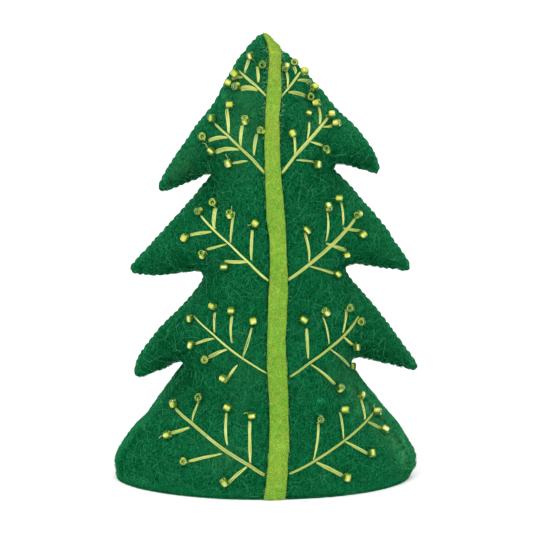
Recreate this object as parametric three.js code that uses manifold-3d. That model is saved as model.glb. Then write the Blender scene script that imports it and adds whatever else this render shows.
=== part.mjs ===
// Stuffed felt tree ornament: five tiers, trunk strip, stitched sprigs and glass seed beads.
// Millimetres, +Z up, the front faces -Y, the foot rests on Z = 0, X = 0 is the middle of the bounding box.
import * as THREE from 'three';
import Module from 'manifold-3d';

const wasm = await Module();
wasm.setup();

// ---------------------------------------------------------------- driving dimensions (mm)
const HEIGHT_TIP = 138.7;      // top of the felt under the trunk strip
const SHRINK = 0.45;           // the felt edge lies this far inside the outline, the seam thread fills the rest
const FELT = 1.4;              // felt thickness
const SEAM_HALF_GAP = 0.15;    // half of the gap between front and back panel along the seam
const BULGE = 21.2;            // stuffed half depth at the foot, inside the felt
const BULGE_POWER = 0.5;       // round (elliptic) section
const FILL = 2.35;             // how full the lower tiers are stuffed
const FOOT_Z = 1.5;            // lower rim of the two panels
const FOOT_LEFT = -45.7, FOOT_RIGHT = 43.6;
const BASE_THICK = 1.2;        // base panel
const GAP = 0.3;               // clearance between separate pieces
const STRIP_THICK = 1.0;       // trunk strip
const THREAD_R = 0.35;         // overcast thread of the side seam
const FLOSS_HALF_HEIGHT = 0.34;
const BEAD_R = 1.2, BEAD_LEN = 2.0;
const LEG = 0.25;              // half side of the beading thread
const HOLE = 0.55;             // half side of the clearance hole round a thread leg
const LATTICE = 6.2, EDGE_STEP = 4.4;

const COLOUR = { felt: 0x12593a, strip: 0x86b342, floss: 0xd8dd7c, bead: 0xd6d94a, stuffing: 0xf1efe8, tack: 0x1a5a3c };

// felt outline, clockwise from the tip (x, z)
const OUTLINE = [
  [-0.8, 139.3], [0.5, 138.9], [2.2, 137.4], [5.2, 133.9], [7.6, 131.8], [9.7, 129.5], [12.4, 127.1], [14.8, 124.2], [17.3, 121.5],
  [19.4, 118.6], [21.5, 115.6], [24.8, 112.5], [27.6, 110], [30, 106.9], [31.8, 103.9], [33.2, 100.9], [34.1, 98], [33.1, 96.5],
  [30.1, 97.5], [26.7, 98.5], [23.7, 99.2], [21.3, 99.3], [20.5, 98.2], [21, 97.2], [23.1, 94.9], [26.5, 91.3], [29.2, 88.1],
  [32, 84.8], [35, 80.8], [38.1, 76.4], [40.6, 73.1], [42.5, 70.2], [43.4, 67.2], [42.4, 66.1], [37.6, 66.8], [32.7, 67.5],
  [27.9, 68.2], [25.1, 68.1], [24.2, 67], [24.8, 65.3], [26.4, 62.8], [28.8, 59.8], [31.9, 56.3], [35, 52.4], [38.1, 48.4],
  [41.2, 44.1], [44, 39.8], [46.2, 35.8], [45.3, 34.8], [41.9, 35.7], [38.2, 36.7], [33.6, 37.6], [30.2, 38.5], [28.1, 38.9],
  [26.9, 38.5], [26.5, 37.3], [27.4, 34.9], [29.3, 31.7], [31.9, 28.5], [35, 24.8], [38.1, 21.1], [40.9, 17.6], [42.8, 14.6],
  [44.4, 11.7], [45.5, 9.5], [46.1, 6.9], [45.9, 4.3], [43.6, 1.5], [-45.7, 1.5], [-47.1, 5.3], [-46.5, 8.3], [-45.2, 11.1],
  [-43.6, 13.5], [-42, 15.8], [-40.1, 18], [-36.9, 21.4], [-33.4, 26.1], [-29.7, 31.7], [-25.8, 37.4], [-27.5, 37.1], [-31.2, 35.7],
  [-35.2, 34], [-38.3, 32.7], [-40.1, 32.8], [-40.8, 34.7], [-40.4, 37.3], [-39.1, 40.1], [-36.3, 44], [-32.9, 48.2], [-28, 53.5],
  [-22.7, 59.1], [-20.3, 62.9], [-19.7, 64.8], [-20.4, 65.9], [-23.3, 65.8], [-27.9, 65.3], [-32.5, 64.8], [-37, 64.8], [-40.3, 65.4],
  [-41.5, 66.5], [-40.9, 68.7], [-38.8, 71.2], [-35.4, 74.9], [-30.8, 79.9], [-25.9, 85.4], [-21.3, 90.4], [-18.9, 93.6], [-16.8, 96.1],
  [-18.6, 96], [-21, 95], [-26.2, 92.9], [-31, 91], [-32.4, 91.5], [-32.7, 92.7], [-32, 94.6], [-30.1, 98.4], [-27.3, 102.9],
  [-24.6, 106.8], [-21.8, 110.6], [-18.6, 115.1], [-15.5, 119.3], [-13.3, 123.2], [-11.2, 127.2], [-9.1, 130.9], [-6.4, 134.2], [-4.3, 137],
  [-2.5, 138.5],
];
// trunk strip rows (z, left x, right x)
const STRIP = [
  [-0.1, -0.8, 6], [3.9, -0.4, 6], [9.4, 0.1, 6.3], [17.9, 0.8, 6.8], [24.5, 0.8, 6.4], [30.6, 0.8, 6.2],
  [36.6, 0.7, 6.1], [42.7, 0.5, 5.9], [47.3, 0.4, 6.1], [51.8, 0.3, 6.2], [57.9, 0.4, 6.1], [64, 0.6, 6.3],
  [70, 0.6, 6.4], [74.6, 0.4, 6.1], [79.1, 0.3, 5.8], [85.2, -0, 5.5], [91.2, -0.2, 5], [97.1, -0.5, 4.5],
  [103.1, -0.5, 4.1], [107.5, -0.5, 4], [112, -0.5, 3.8], [116.3, -0.2, 3.7], [120.7, 0.1, 4.1], [125.3, 0.4, 4.4],
  [129.2, 0.6, 4.2], [132.6, 0.6, 4.1], [134.8, 0.3, 4.2], [135.9, 0, 4.2], [137.2, -0.3, 3.6], [138.4, -0.7, 2.6],
  [139.3, -1.2, 1.2],
];
// sprigs: stem from the strip outwards; twigs [root, tip, middle, width]; beads [x, z, kind, turn in degrees]
// kind 'r' is a bead seen down its hole, 'b' is a bead lying on its side
const SPRIGS = {
  '1_left': { w: 1.10,
    stem: [[0.0, 121.7], [-2.6, 124.4], [-5.9, 127.0], [-8.4, 128.8]],
    twigs: [[[-6.2, 128.3], [-4.9, 132.3], null, 1.1],
      [[-2.4, 125.9], [-2.7, 130.6], [-2.4, 128.1], 1.0],
      [[-7.2, 127.0], [-10.4, 126.0], [-8.8, 126.8], 0.8],
      [[-2.6, 123.9], [-8.0, 123.6], [-5.5, 124.5], 1.6]],
    beads: [[-5.0, 133.4, 'b', 25], [-1.2, 131.0, 'r', 0], [-11.6, 125.3, 'b', 15], [-8.9, 124.6, 'r', 0], [-9.6, 128.3, 'b', 130]] },
  '1_right': { w: 1.16,
    stem: [[4.1, 121.4], [6.8, 124.6], [8.6, 126.7], [10.2, 128.4]],
    twigs: [[[8.8, 127.9], [6.9, 131.3], [8.3, 129.8], 0.9],
      [[6.4, 124.3], [5.9, 129.1], [6.3, 126.9], 0.9],
      [[9.2, 126.2], [13.5, 124.5], [11.8, 125.8], 0.8],
      [[6.6, 123.1], [11.8, 121.4], [9.1, 122.7], 1.2]],
    beads: [[8.4, 131.3, 'r', 0], [6.0, 130.5, 'r', 60], [14.5, 124.1, 'b', 20], [13.1, 121.8, 'r', 0], [11.4, 128.3, 'r', 90]] },
  '2_left': { w: 0.91,
    stem: [[-0.4, 99.2], [-4.0, 103.5], [-7.7, 106.7], [-11.1, 109.9], [-15.5, 113.3]],
    twigs: [[[-11.1, 110.6], [-11.7, 118.1], [-11.3, 114.5], 0.8],
      [[-7.7, 107.1], [-7.1, 113.5], [-7.7, 110.3], 1.0],
      [[-3.7, 104.6], [-2.9, 111.0], [-3.4, 107.8], 1.0],
      [[-11.6, 109.7], [-17.5, 108.2], [-14.8, 109.5], 1.2],
      [[-8.2, 106.3], [-15.4, 104.9], [-12.1, 106.4], 1.8],
      [[-5.6, 102.8], [-10.4, 101.9], [-7.9, 102.5], 0.8]],
    beads: [[-11.1, 119.3, 'b', 90], [-6.5, 114.8, 'r', 120], [-1.8, 112.0, 'r', 0], [-19.4, 109.3, 'r', 0], [-16.7, 105.3, 'b', 45], [-11.6, 101.8, 'r', 60], [-16.6, 114.6, 'r', 0]] },
  '2_right': { w: 1.28,
    stem: [[4.5, 99.0], [8.8, 104.7], [12.5, 108.7], [16.3, 112.6], [18.5, 115.0]],
    twigs: [[[16.0, 113.2], [15.6, 118.4], [16.2, 116.1], 0.8],
      [[12.2, 109.2], [12.8, 114.3], [12.7, 111.7], 0.9],
      [[8.6, 104.9], [8.2, 110.2], [8.7, 107.7], 0.9],
      [[17.0, 112.3], [19.9, 112.3], [18.4, 112.2], 0.8],
      [[13.1, 108.3], [17.0, 106.6], [15.1, 107.6], 0.9],
      [[8.9, 103.0], [14.4, 102.0], [11.5, 102.8], 0.8]],
    beads: [[15.0, 119.7, 'b', 0], [12.7, 117.0, 'b', 100], [7.8, 111.4, 'b', 110], [21.1, 113.4, 'r', 0], [18.1, 105.8, 'r', 0], [15.5, 101.7, 'b', 0], [19.5, 116.2, 'b', 30]] },
  '3_left': { w: 0.91,
    stem: [[0.8, 66.6], [-5.8, 72.6], [-10.9, 77.6], [-15.7, 81.5], [-20.0, 85.5]],
    twigs: [[[-15.8, 81.9], [-15.4, 88.2], [-16.0, 84.7], 1.5],
      [[-10.6, 78.1], [-9.6, 87.4], [-10.3, 82.1], 1.2],
      [[-4.4, 73.0], [-4.0, 82.3], [-4.4, 77.2], 1.2],
      [[-16.7, 81.0], [-23.4, 79.1], [-20.3, 80.3], 1.1],
      [[-12.1, 77.7], [-18.4, 75.2], [-15.1, 76.7], 1.0],
      [[-5.6, 72.4], [-12.9, 72.0], [-9.4, 72.3], 1.1]],
    beads: [[-16.3, 89.6, 'r', 0], [-11.2, 86.9, 'r', 60], [-3.5, 84.3, 'b', 45], [-24.8, 78.5, 'b', 40], [-19.5, 74.0, 'r', 0], [-12.9, 70.8, 'b', 90], [-20.5, 87.0, 'r', 0]] },
  '3_right': { w: 1.28,
    stem: [[6.3, 66.6], [13.0, 71.4], [19.5, 76.7], [24.4, 81.4], [27.0, 84.3]],
    twigs: [[[23.1, 82.7], [22.4, 89.3], [22.9, 86.2], 0.8],
      [[18.1, 78.2], [18.4, 86.9], [18.7, 82.5], 0.9],
      [[12.9, 72.1], [11.5, 81.2], [12.6, 76.8], 1.0],
      [[23.0, 81.8], [28.7, 80.4], [25.7, 81.1], 0.8],
      [[18.1, 77.7], [24.6, 74.6], [21.5, 76.5], 1.2],
      [[13.0, 70.9], [20.9, 67.4], [17.0, 69.4], 1.1]],
    beads: [[21.9, 90.8, 'b', 80], [18.8, 88.7, 'r', 0], [12.3, 82.1, 'b', -45], [29.3, 79.4, 'b', -45], [24.4, 73.5, 'b', 0], [21.8, 67.6, 'b', -40], [28.0, 85.6, 'r', 0]] },
  '4_left': { w: 0.97,
    stem: [[0.4, 38.6], [-6.7, 43.0], [-11.4, 46.3], [-15.8, 49.5], [-22.1, 54.2]],
    twigs: [[[-15.8, 50.5], [-15.6, 56.5], [-15.9, 53.4], 1.0],
      [[-10.6, 47.8], [-10.5, 56.0], [-11.0, 51.7], 1.0],
      [[-7.0, 43.6], [-4.1, 52.8], [-5.6, 47.8], 1.1],
      [[-15.6, 48.7], [-21.7, 46.2], [-18.6, 47.8], 1.2],
      [[-11.7, 45.8], [-17.6, 42.6], [-14.6, 44.5], 1.4],
      [[-8.6, 41.2], [-11.7, 36.5], [-10.3, 39.0], 1.0]],
    beads: [[-16.4, 58.2, 'b', 60], [-10.8, 57.5, 'b', 90], [-4.1, 54.8, 'b', 70], [-23.0, 46.0, 'b', 0], [-18.8, 42.0, 'r', 0], [-13.0, 37.0, 'r', 120], [-23.5, 53.6, 'b', 70]] },
  '4_right': { w: 1.10,
    stem: [[7.0, 37.4], [12.8, 41.4], [19.0, 45.3], [23.6, 48.7], [26.7, 52.1], [28.1, 53.8]],
    twigs: [[[23.1, 49.4], [24.0, 56.5], [23.8, 53.2], 0.9],
      [[19.0, 46.6], [17.0, 55.0], [18.4, 51.1], 0.8],
      [[12.6, 42.7], [12.0, 52.1], [12.2, 47.6], 1.2],
      [[23.5, 48.0], [26.9, 44.5], [25.1, 46.4], 0.9],
      [[19.3, 45.1], [25.8, 36.9], [22.8, 41.8], 0.8],
      [[13.6, 40.9], [21.1, 33.4], [17.2, 37.9], 1.0]],
    beads: [[25.6, 56.9, 'r', 0], [18.0, 56.8, 'b', -45], [11.1, 55.0, 'b', 60], [27.7, 44.9, 'b', 0], [26.7, 37.2, 'b', 0], [22.8, 32.9, 'r', 45], [28.9, 52.6, 'r', 0]] },
  '5_left': { w: 1.16,
    stem: [[-0.3, 7.6], [-5.5, 10.9], [-12.7, 15.2], [-22.6, 22.4], [-28.0, 25.7]],
    twigs: [[[-22.5, 22.7], [-20.4, 28.8], [-21.7, 25.7], 0.8],
      [[-12.0, 16.7], [-12.3, 26.4], [-12.4, 21.5], 1.1],
      [[-4.9, 11.4], [-5.0, 24.3], [-5.0, 17.3], 1.3],
      [[-23.5, 21.1], [-29.4, 18.2], [-26.3, 19.9], 1.0],
      [[-13.6, 14.2], [-24.0, 10.9], [-18.6, 12.8], 1.1],
      [[-5.8, 10.2], [-11.9, 4.4], [-9.0, 7.6], 1.0]],
    beads: [[-20.8, 30.6, 'r', 0], [-12.0, 28.2, 'b', 60], [-4.9, 26.1, 'b', 90], [-30.6, 18.2, 'b', 80], [-25.5, 11.0, 'r', 0], [-13.0, 5.7, 'b', 45], [-28.7, 27.1, 'b', 110]] },
  '5_right': { w: 0.91,
    stem: [[6.6, 8.2], [14.3, 11.7], [23.3, 16.9], [30.3, 21.6], [32.9, 23.5]],
    twigs: [[[30.2, 22.2], [28.7, 28.3], [29.6, 25.2], 0.8],
      [[23.4, 17.7], [22.2, 25.7], [23.1, 21.4], 0.8],
      [[14.4, 12.2], [15.8, 23.7], [15.4, 17.7], 1.2],
      [[31.0, 21.5], [36.0, 18.1], [33.4, 19.8], 0.8],
      [[23.8, 16.8], [31.0, 11.9], [27.2, 14.8], 1.2],
      [[15.1, 11.3], [23.3, 6.2], [19.2, 9.0], 1.4]],
    beads: [[29.4, 29.2, 'r', 0], [24.1, 26.5, 'b', 0], [16.9, 24.8, 'r', 0], [36.5, 19.0, 'b', 70], [32.3, 12.7, 'b', 10], [24.7, 6.3, 'b', 60], [34.1, 24.1, 'r', 30]] },
};

const X_MID = (FOOT_LEFT + FOOT_RIGHT) / 2, X_HALF = (FOOT_RIGHT - FOOT_LEFT) / 2;

// ---------------------------------------------------------------- plane geometry helpers
const sub = (a, b) => [a[0] - b[0], a[1] - b[1]];
const len = (a) => Math.hypot(a[0], a[1]);
const dist = (a, b) => Math.hypot(a[0] - b[0], a[1] - b[1]);

function segDist(p, a, b) {
  const ab = sub(b, a), ap = sub(p, a);
  const t = Math.max(0, Math.min(1, (ap[0] * ab[0] + ap[1] * ab[1]) / (ab[0] ** 2 + ab[1] ** 2 || 1)));
  return Math.hypot(ap[0] - t * ab[0], ap[1] - t * ab[1]);
}
function polyDist(p, poly, skipFoot = false) {
  let d = 1e9;
  for (let i = 0; i < poly.length; i++) {
    const a = poly[i], b = poly[(i + 1) % poly.length];
    if (skipFoot && Math.abs(a[1] - FOOT_Z) < 1e-6 && Math.abs(b[1] - FOOT_Z) < 1e-6) continue;
    d = Math.min(d, segDist(p, a, b));
  }
  return d;
}
function insidePoly(p, poly) {
  let c = false;
  for (let i = 0, j = poly.length - 1; i < poly.length; j = i++) {
    const a = poly[i], b = poly[j];
    if ((a[1] > p[1]) !== (b[1] > p[1]) && p[0] < (b[0] - a[0]) * (p[1] - a[1]) / (b[1] - a[1]) + a[0]) c = !c;
  }
  return c;
}
// closed polyline offset to its left-hand side by d (outline is clockwise, so d > 0 is outwards)
function offsetLoop(poly, d) {
  const n = poly.length, out = [];
  for (let i = 0; i < n; i++) {
    const a = poly[(i + n - 1) % n], b = poly[i], c = poly[(i + 1) % n];
    const e1 = sub(b, a), e2 = sub(c, b), l1 = len(e1) || 1, l2 = len(e2) || 1;
    let nx = -e1[1] / l1 - e2[1] / l2, nz = e1[0] / l1 + e2[0] / l2;
    const l = Math.hypot(nx, nz) || 1;
    nx /= l; nz /= l;
    const k = 1 / Math.max(0.45, (-e1[1] / l1) * nx + (e1[0] / l1) * nz);
    out.push([b[0] + nx * d * k, b[1] + nz * d * k]);
  }
  return out.filter((p) => polyDist(p, poly) > Math.abs(d) * 0.93);
}
// even spacing along a closed polyline, sharp corners kept
function resample(poly, step, cornerDeg = 32) {
  const n = poly.length, corners = [];
  for (let i = 0; i < n; i++) {
    const e1 = sub(poly[i], poly[(i + n - 1) % n]), e2 = sub(poly[(i + 1) % n], poly[i]);
    const turn = Math.abs(Math.atan2(e1[0] * e2[1] - e1[1] * e2[0], e1[0] * e2[0] + e1[1] * e2[1])) * 180 / Math.PI;
    if (turn > cornerDeg) corners.push(i);
  }
  const out = [];
  for (let c = 0; c < corners.length; c++) {
    const i0 = corners[c], i1 = corners[(c + 1) % corners.length];
    const path = [poly[i0]];
    for (let i = i0; i !== i1;) { i = (i + 1) % n; path.push(poly[i]); }
    let L = 0;
    const acc = [0];
    for (let i = 1; i < path.length; i++) { L += dist(path[i], path[i - 1]); acc.push(L); }
    const m = Math.max(1, Math.round(L / step));
    for (let k = 0; k < m; k++) {
      const s = L * k / m;
      let j = 1;
      while (acc[j] < s - 1e-9) j++;
      const t = (s - acc[j - 1]) / (acc[j] - acc[j - 1] || 1);
      out.push([path[j - 1][0] + t * (path[j][0] - path[j - 1][0]), path[j - 1][1] + t * (path[j][1] - path[j - 1][1])]);
    }
  }
  return out;
}

// Delaunay triangles of points (incremental)
function delaunay(pts) {
  const n = pts.length, P = pts.concat([[-4000, -3000], [4000, -3000], [0, 6000]]);
  const circ = (a, b, c) => {
    const [ax, ay] = P[a], [bx, by] = P[b], [cx, cy] = P[c];
    const d = 2 * (ax * (by - cy) + bx * (cy - ay) + cx * (ay - by));
    const ux = ((ax * ax + ay * ay) * (by - cy) + (bx * bx + by * by) * (cy - ay) + (cx * cx + cy * cy) * (ay - by)) / d;
    const uy = ((ax * ax + ay * ay) * (cx - bx) + (bx * bx + by * by) * (ax - cx) + (cx * cx + cy * cy) * (bx - ax)) / d;
    return { v: [a, b, c], x: ux, y: uy, r2: (ax - ux) ** 2 + (ay - uy) ** 2 };
  };
  let T = [circ(n, n + 1, n + 2)];
  for (let i = 0; i < n; i++) {
    const [px, py] = P[i], keep = [], edge = new Map();
    for (const t of T) {
      if ((px - t.x) ** 2 + (py - t.y) ** 2 < t.r2 * (1 - 1e-12)) {
        for (let k = 0; k < 3; k++) {
          const a = t.v[k], b = t.v[(k + 1) % 3], key = `${b}_${a}`;
          if (edge.has(key)) edge.delete(key); else edge.set(`${a}_${b}`, [a, b]);
        }
      } else keep.push(t);
    }
    for (const [a, b] of edge.values()) keep.push(circ(a, b, i));
    T = keep;
  }
  return T.map((t) => t.v).filter((v) => v.every((i) => i < n));
}
// triangle mesh of a polygon: loop vertices first, then a lattice inside
function meshPolygon(loopIn, spacing) {
  let loop = loopIn.slice();
  for (let round = 0; round < 8; round++) {
    const pts = loop.map((p) => p.slice());
    const zs = loop.map((p) => p[1]), z0 = Math.min(...zs), z1 = Math.max(...zs);
    let row = 0;
    for (let z = z0 + spacing * 0.6; z < z1; z += spacing * 0.866, row++)
      for (let x = -60 + (row % 2) * spacing / 2; x < 60; x += spacing) {
        const p = [x + 0.013 * Math.sin(row * 3.1 + x), z + 0.011 * Math.cos(x * 1.7 + row)];
        if (insidePoly(p, loop) && polyDist(p, loop) > spacing * 0.5) pts.push(p);
      }
    const jit = pts.map((p, i) => [p[0] + 1e-5 * Math.sin(i * 12.9), p[1] + 1e-5 * Math.cos(i * 7.3)]);
    let tris = delaunay(jit).filter((t) => {
      const c = [0, 1].map((k) => (pts[t[0]][k] + pts[t[1]][k] + pts[t[2]][k]) / 3);
      return insidePoly(c, loop);
    }).map((t) => {
      const [a, b, c] = t.map((i) => pts[i]);
      const s = (b[0] - a[0]) * (c[1] - a[1]) - (b[1] - a[1]) * (c[0] - a[0]);
      return s > 0 ? t : [t[0], t[2], t[1]];
    });
    const have = new Set();
    tris.forEach((t) => { for (let k = 0; k < 3; k++) have.add(`${t[k]}_${t[(k + 1) % 3]}`); });
    const N = loop.length, missing = [];
    for (let i = 0; i < N; i++) {
      const j = (i + 1) % N;
      if (!have.has(`${i}_${j}`) && !have.has(`${j}_${i}`)) missing.push(i);
    }
    if (!missing.length) return { pts, tris, nLoop: N };
    const next = [];
    loop.forEach((p, i) => {
      next.push(p);
      if (missing.includes(i)) { const q = loop[(i + 1) % N]; next.push([(p[0] + q[0]) / 2, (p[1] + q[1]) / 2]); }
    });
    loop = next;
  }
  throw new Error('outline could not be meshed');
}
// membrane under even pressure: zero along the seam, elliptic at the foot
function membrane(mesh, isFoot) {
  const { pts, tris, nLoop } = mesh, n = pts.length;
  const K = Array.from({ length: n }, () => new Map()), area = new Float64Array(n);
  const add = (i, j, v) => K[i].set(j, (K[i].get(j) || 0) + v);
  for (const t of tris) {
    const [A, B, C] = t.map((i) => pts[i]);
    const s = ((B[0] - A[0]) * (C[1] - A[1]) - (B[1] - A[1]) * (C[0] - A[0])) / 2;
    for (let k = 0; k < 3; k++) {
      const i = t[k], j = t[(k + 1) % 3], l = t[(k + 2) % 3];
      const u = sub(pts[i], pts[l]), v = sub(pts[j], pts[l]);
      const cot = Math.max(0.02, (u[0] * v[0] + u[1] * v[1]) / (2 * s)) / 2;
      add(i, j, cot); add(j, i, cot);
      area[i] += s / 3;
    }
  }
  const k = FILL / X_HALF ** 2, w = new Float64Array(n);
  for (let i = 0; i < nLoop; i++) w[i] = isFoot(pts[i]) ? Math.max(0, 1 - ((pts[i][0] - X_MID) / X_HALF) ** 2) : 0;
  for (let it = 0; it < 1500; it++)
    for (let i = nLoop; i < n; i++) {
      let s = 0, d = 0;
      for (const [j, v] of K[i]) { s += v * w[j]; d += v; }
      const target = (s + k * area[i]) / d;
      w[i] += 1.6 * (target - w[i]);
    }
  return w;
}

// ---------------------------------------------------------------- the felt body as a height field
const outline = resample(offsetLoop(OUTLINE.map((p) => [p[0], Math.min(p[1], HEIGHT_TIP)]), -SHRINK)
  .map((p) => (p[1] < FOOT_Z + 0.6 ? [Math.abs(p[0] - FOOT_LEFT) < 4 ? FOOT_LEFT : (Math.abs(p[0] - FOOT_RIGHT) < 4 ? FOOT_RIGHT : p[0]), FOOT_Z] : p)), EDGE_STEP);
const body = meshPolygon(outline, LATTICE);
const isFoot = (p) => Math.abs(p[1] - FOOT_Z) < 1e-6;
const W = membrane(body, isFoot);
const H = Array.from(W, (w) => BULGE * Math.pow(Math.max(0, w), BULGE_POWER));
const LOOP = body.pts.slice(0, body.nLoop);

// slope at each vertex, from the triangles round it
const slope = body.pts.map(() => [0, 0, 0]);
for (const t of body.tris) {
  const [A, B, C] = t.map((i) => body.pts[i]), [a, b, c] = t.map((i) => H[i]);
  const s = (B[0] - A[0]) * (C[1] - A[1]) - (B[1] - A[1]) * (C[0] - A[0]);
  const gx = ((b - a) * (C[1] - A[1]) - (c - a) * (B[1] - A[1])) / s;
  const gz = ((c - a) * (B[0] - A[0]) - (b - a) * (C[0] - A[0])) / s;
  for (const i of t) { slope[i][0] += gx * s; slope[i][1] += gz * s; slope[i][2] += s; }
}
const OUTER = H.map((h) => SEAM_HALF_GAP + FELT + h);
const INNER = H.map((h, i) => {
  const g = Math.hypot(slope[i][0], slope[i][1]) / slope[i][2];
  return i < body.nLoop && !isFoot(body.pts[i]) ? SEAM_HALF_GAP : Math.max(SEAM_HALF_GAP, SEAM_HALF_GAP + FELT + h - FELT * Math.min(Math.sqrt(1 + g * g), 1.6));
});
// faceted height at a point (linear in the triangles); field is OUTER or INNER
function heightAt(field, x, z) {
  let best = null, bd = 1e9;
  for (const t of body.tris) {
    const [A, B, C] = t.map((i) => body.pts[i]);
    const s = (B[0] - A[0]) * (C[1] - A[1]) - (B[1] - A[1]) * (C[0] - A[0]);
    const u = ((B[0] - x) * (C[1] - z) - (B[1] - z) * (C[0] - x)) / s;
    const v = ((C[0] - x) * (A[1] - z) - (C[1] - z) * (A[0] - x)) / s;
    const q = 1 - u - v, m = Math.min(u, v, q);
    if (m > -1e-7) return u * field[t[0]] + v * field[t[1]] + q * field[t[2]];
    if (-m < bd) { bd = -m; best = [t, u, v, q]; }
  }
  const [t, u, v, q] = best, c = [u, v, q].map((e) => Math.max(0, e)), k = c[0] + c[1] + c[2];
  return (c[0] * field[t[0]] + c[1] * field[t[1]] + c[2] * field[t[2]]) / k;
}
function frontNormal(x, z) {
  const e = 1.2, gx = (heightAt(OUTER, x + e, z) - heightAt(OUTER, x - e, z)) / (2 * e);
  const gz = (heightAt(OUTER, x, z + e) - heightAt(OUTER, x, z - e)) / (2 * e);
  return new THREE.Vector3(-gx, -1, -gz).normalize();
}

// ---------------------------------------------------------------- solids
const solids = [];
function geometryOf(verts, tris) {
  const g = new THREE.BufferGeometry();
  g.setAttribute('position', new THREE.Float32BufferAttribute(verts.flat(), 3));
  g.setIndex(tris.flat());
  return g;
}
function toManifold(verts, tris) {
  const solid = new wasm.Manifold(new wasm.Mesh({ numProp: 3, vertProperties: new Float32Array(verts.flat()), triVerts: new Uint32Array(tris.flat()) }));
  return solid;
}
function fromManifold(m) {
  const g = m.getMesh(), v = [], t = [];
  for (let i = 0; i < g.numVert; i++) v.push([g.vertProperties[i * g.numProp], g.vertProperties[i * g.numProp + 1], g.vertProperties[i * g.numProp + 2]]);
  for (let i = 0; i < g.numTri; i++) t.push([g.triVerts[3 * i], g.triVerts[3 * i + 1], g.triVerts[3 * i + 2]]);
  return [v, t];
}
function addMesh(name, verts, tris, material) {
  let vol = 0;
  for (const [a, b, c] of tris) {
    const A = verts[a], B = verts[b], C = verts[c];
    vol += A[0] * (B[1] * C[2] - B[2] * C[1]) - A[1] * (B[0] * C[2] - B[2] * C[0]) + A[2] * (B[0] * C[1] - B[1] * C[0]);
  }
  if (vol < 0) tris = tris.map(([a, b, c]) => [a, c, b]);
  const g = geometryOf(verts, tris);
  g.computeVertexNormals();
  const mesh = new THREE.Mesh(g, material);
  mesh.name = name;
  solids.push(mesh);
  return mesh;
}
const fabric = (c, r = 0.95) => new THREE.MeshStandardMaterial({ color: c, roughness: r, metalness: 0 });
const feltMat = () => fabric(COLOUR.felt);

// felt shell between two height fields over the outline; side = -1 front, +1 back
function shell(side) {
  const n = body.pts.length, verts = [], tris = [];
  body.pts.forEach((p, i) => verts.push([p[0], side * OUTER[i], p[1]]));
  body.pts.forEach((p, i) => verts.push([p[0], side * INNER[i], p[1]]));
  for (const [a, b, c] of body.tris) { tris.push([a, b, c], [a + n, c + n, b + n]); }
  for (let i = 0; i < body.nLoop; i++) {
    const j = (i + 1) % body.nLoop;            // loop runs clockwise
    tris.push([i, j, j + n], [i, j + n, i + n]);
  }
  return [verts, side < 0 ? tris : tris.map(([a, b, c]) => [a, c, b])];
}
// straight square prism along Y
function prismY(x, z, half, y0, y1) {
  const v = [], q = [[-half, -half], [half, -half], [half, half], [-half, half]];
  for (const y of [y0, y1]) for (const [dx, dz] of q) v.push([x + dx, y, z + dz]);
  const t = [[0, 1, 2], [0, 2, 3], [4, 6, 5], [4, 7, 6]];
  for (let i = 0; i < 4; i++) { const j = (i + 1) % 4; t.push([i, i + 4, j + 4], [i, j + 4, j]); }
  return [v, t];
}
// rod along a path of {p, n}: four-sided section, half width a (may vary), half height b
function rod(path, a, b, top = 0.5) {
  const v = [], t = [], m = path.length;
  for (let i = 0; i < m; i++) {
    const p = path[i].p, q = path[Math.min(m - 1, i + 1)].p, o = path[Math.max(0, i - 1)].p;
    const tan = q.clone().sub(o).normalize();
    const nor = path[i].n.clone().addScaledVector(tan, -path[i].n.dot(tan)).normalize();
    const side = tan.clone().cross(nor).normalize();
    const w = typeof a === 'function' ? a(i / (m - 1)) : a;
    for (const [s, h] of [[-w, -b], [w, -b], [w * top, b], [-w * top, b]])
      v.push(p.clone().addScaledVector(side, s).addScaledVector(nor, h).toArray());
  }
  for (let i = 0; i + 1 < m; i++) for (let k = 0; k < 4; k++) {
    const l = (k + 1) % 4, c = i * 4, d = c + 4;
    t.push([c + k, c + l, d + l], [c + k, d + l, d + k]);
  }
  const e = (m - 1) * 4;
  t.push([0, 2, 1], [0, 3, 2], [e, e + 1, e + 2], [e, e + 2, e + 3]);
  return [v, orient(v, t)];
}
function orient(verts, tris) {
  let vol = 0;
  for (const [a, b, c] of tris) {
    const A = verts[a], B = verts[b], C = verts[c];
    vol += A[0] * (B[1] * C[2] - B[2] * C[1]) - A[1] * (B[0] * C[2] - B[2] * C[0]) + A[2] * (B[0] * C[1] - B[1] * C[0]);
  }
  return vol < 0 ? tris.map(([a, b, c]) => [a, c, b]) : tris;
}
const polyAt = (pts, s) => {   // point at arc length s of a 2-D polyline
  let i = 1, L = 0;
  while (i < pts.length - 1 && L + dist(pts[i], pts[i - 1]) < s) { L += dist(pts[i], pts[i - 1]); i++; }
  const d = dist(pts[i], pts[i - 1]) || 1, t = Math.max(0, Math.min(1, (s - L) / d));
  return [pts[i - 1][0] + t * (pts[i][0] - pts[i - 1][0]), pts[i - 1][1] + t * (pts[i][1] - pts[i - 1][1])];
};
const polyLen = (pts) => pts.slice(1).reduce((L, p, i) => L + dist(p, pts[i]), 0);
const divide = (pts, step, least = 2) => {
  const L = polyLen(pts), m = Math.max(least, Math.round(L / step));
  return Array.from({ length: m + 1 }, (_, i) => polyAt(pts, L * i / m));
};
// 2-D path laid on the front felt, centre line `lift` above it
const onFelt = (pts, lift) => pts.map(([x, z]) => {
  const n = frontNormal(x, z);
  return { p: new THREE.Vector3(x, -heightAt(OUTER, x, z), z).addScaledVector(n, lift), n };
});
const behindFelt = (pts, depth) => pts.map(([x, z]) => ({ p: new THREE.Vector3(x, -(heightAt(INNER, x, z) - depth), z), n: new THREE.Vector3(0, -1, 0) }));

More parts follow.
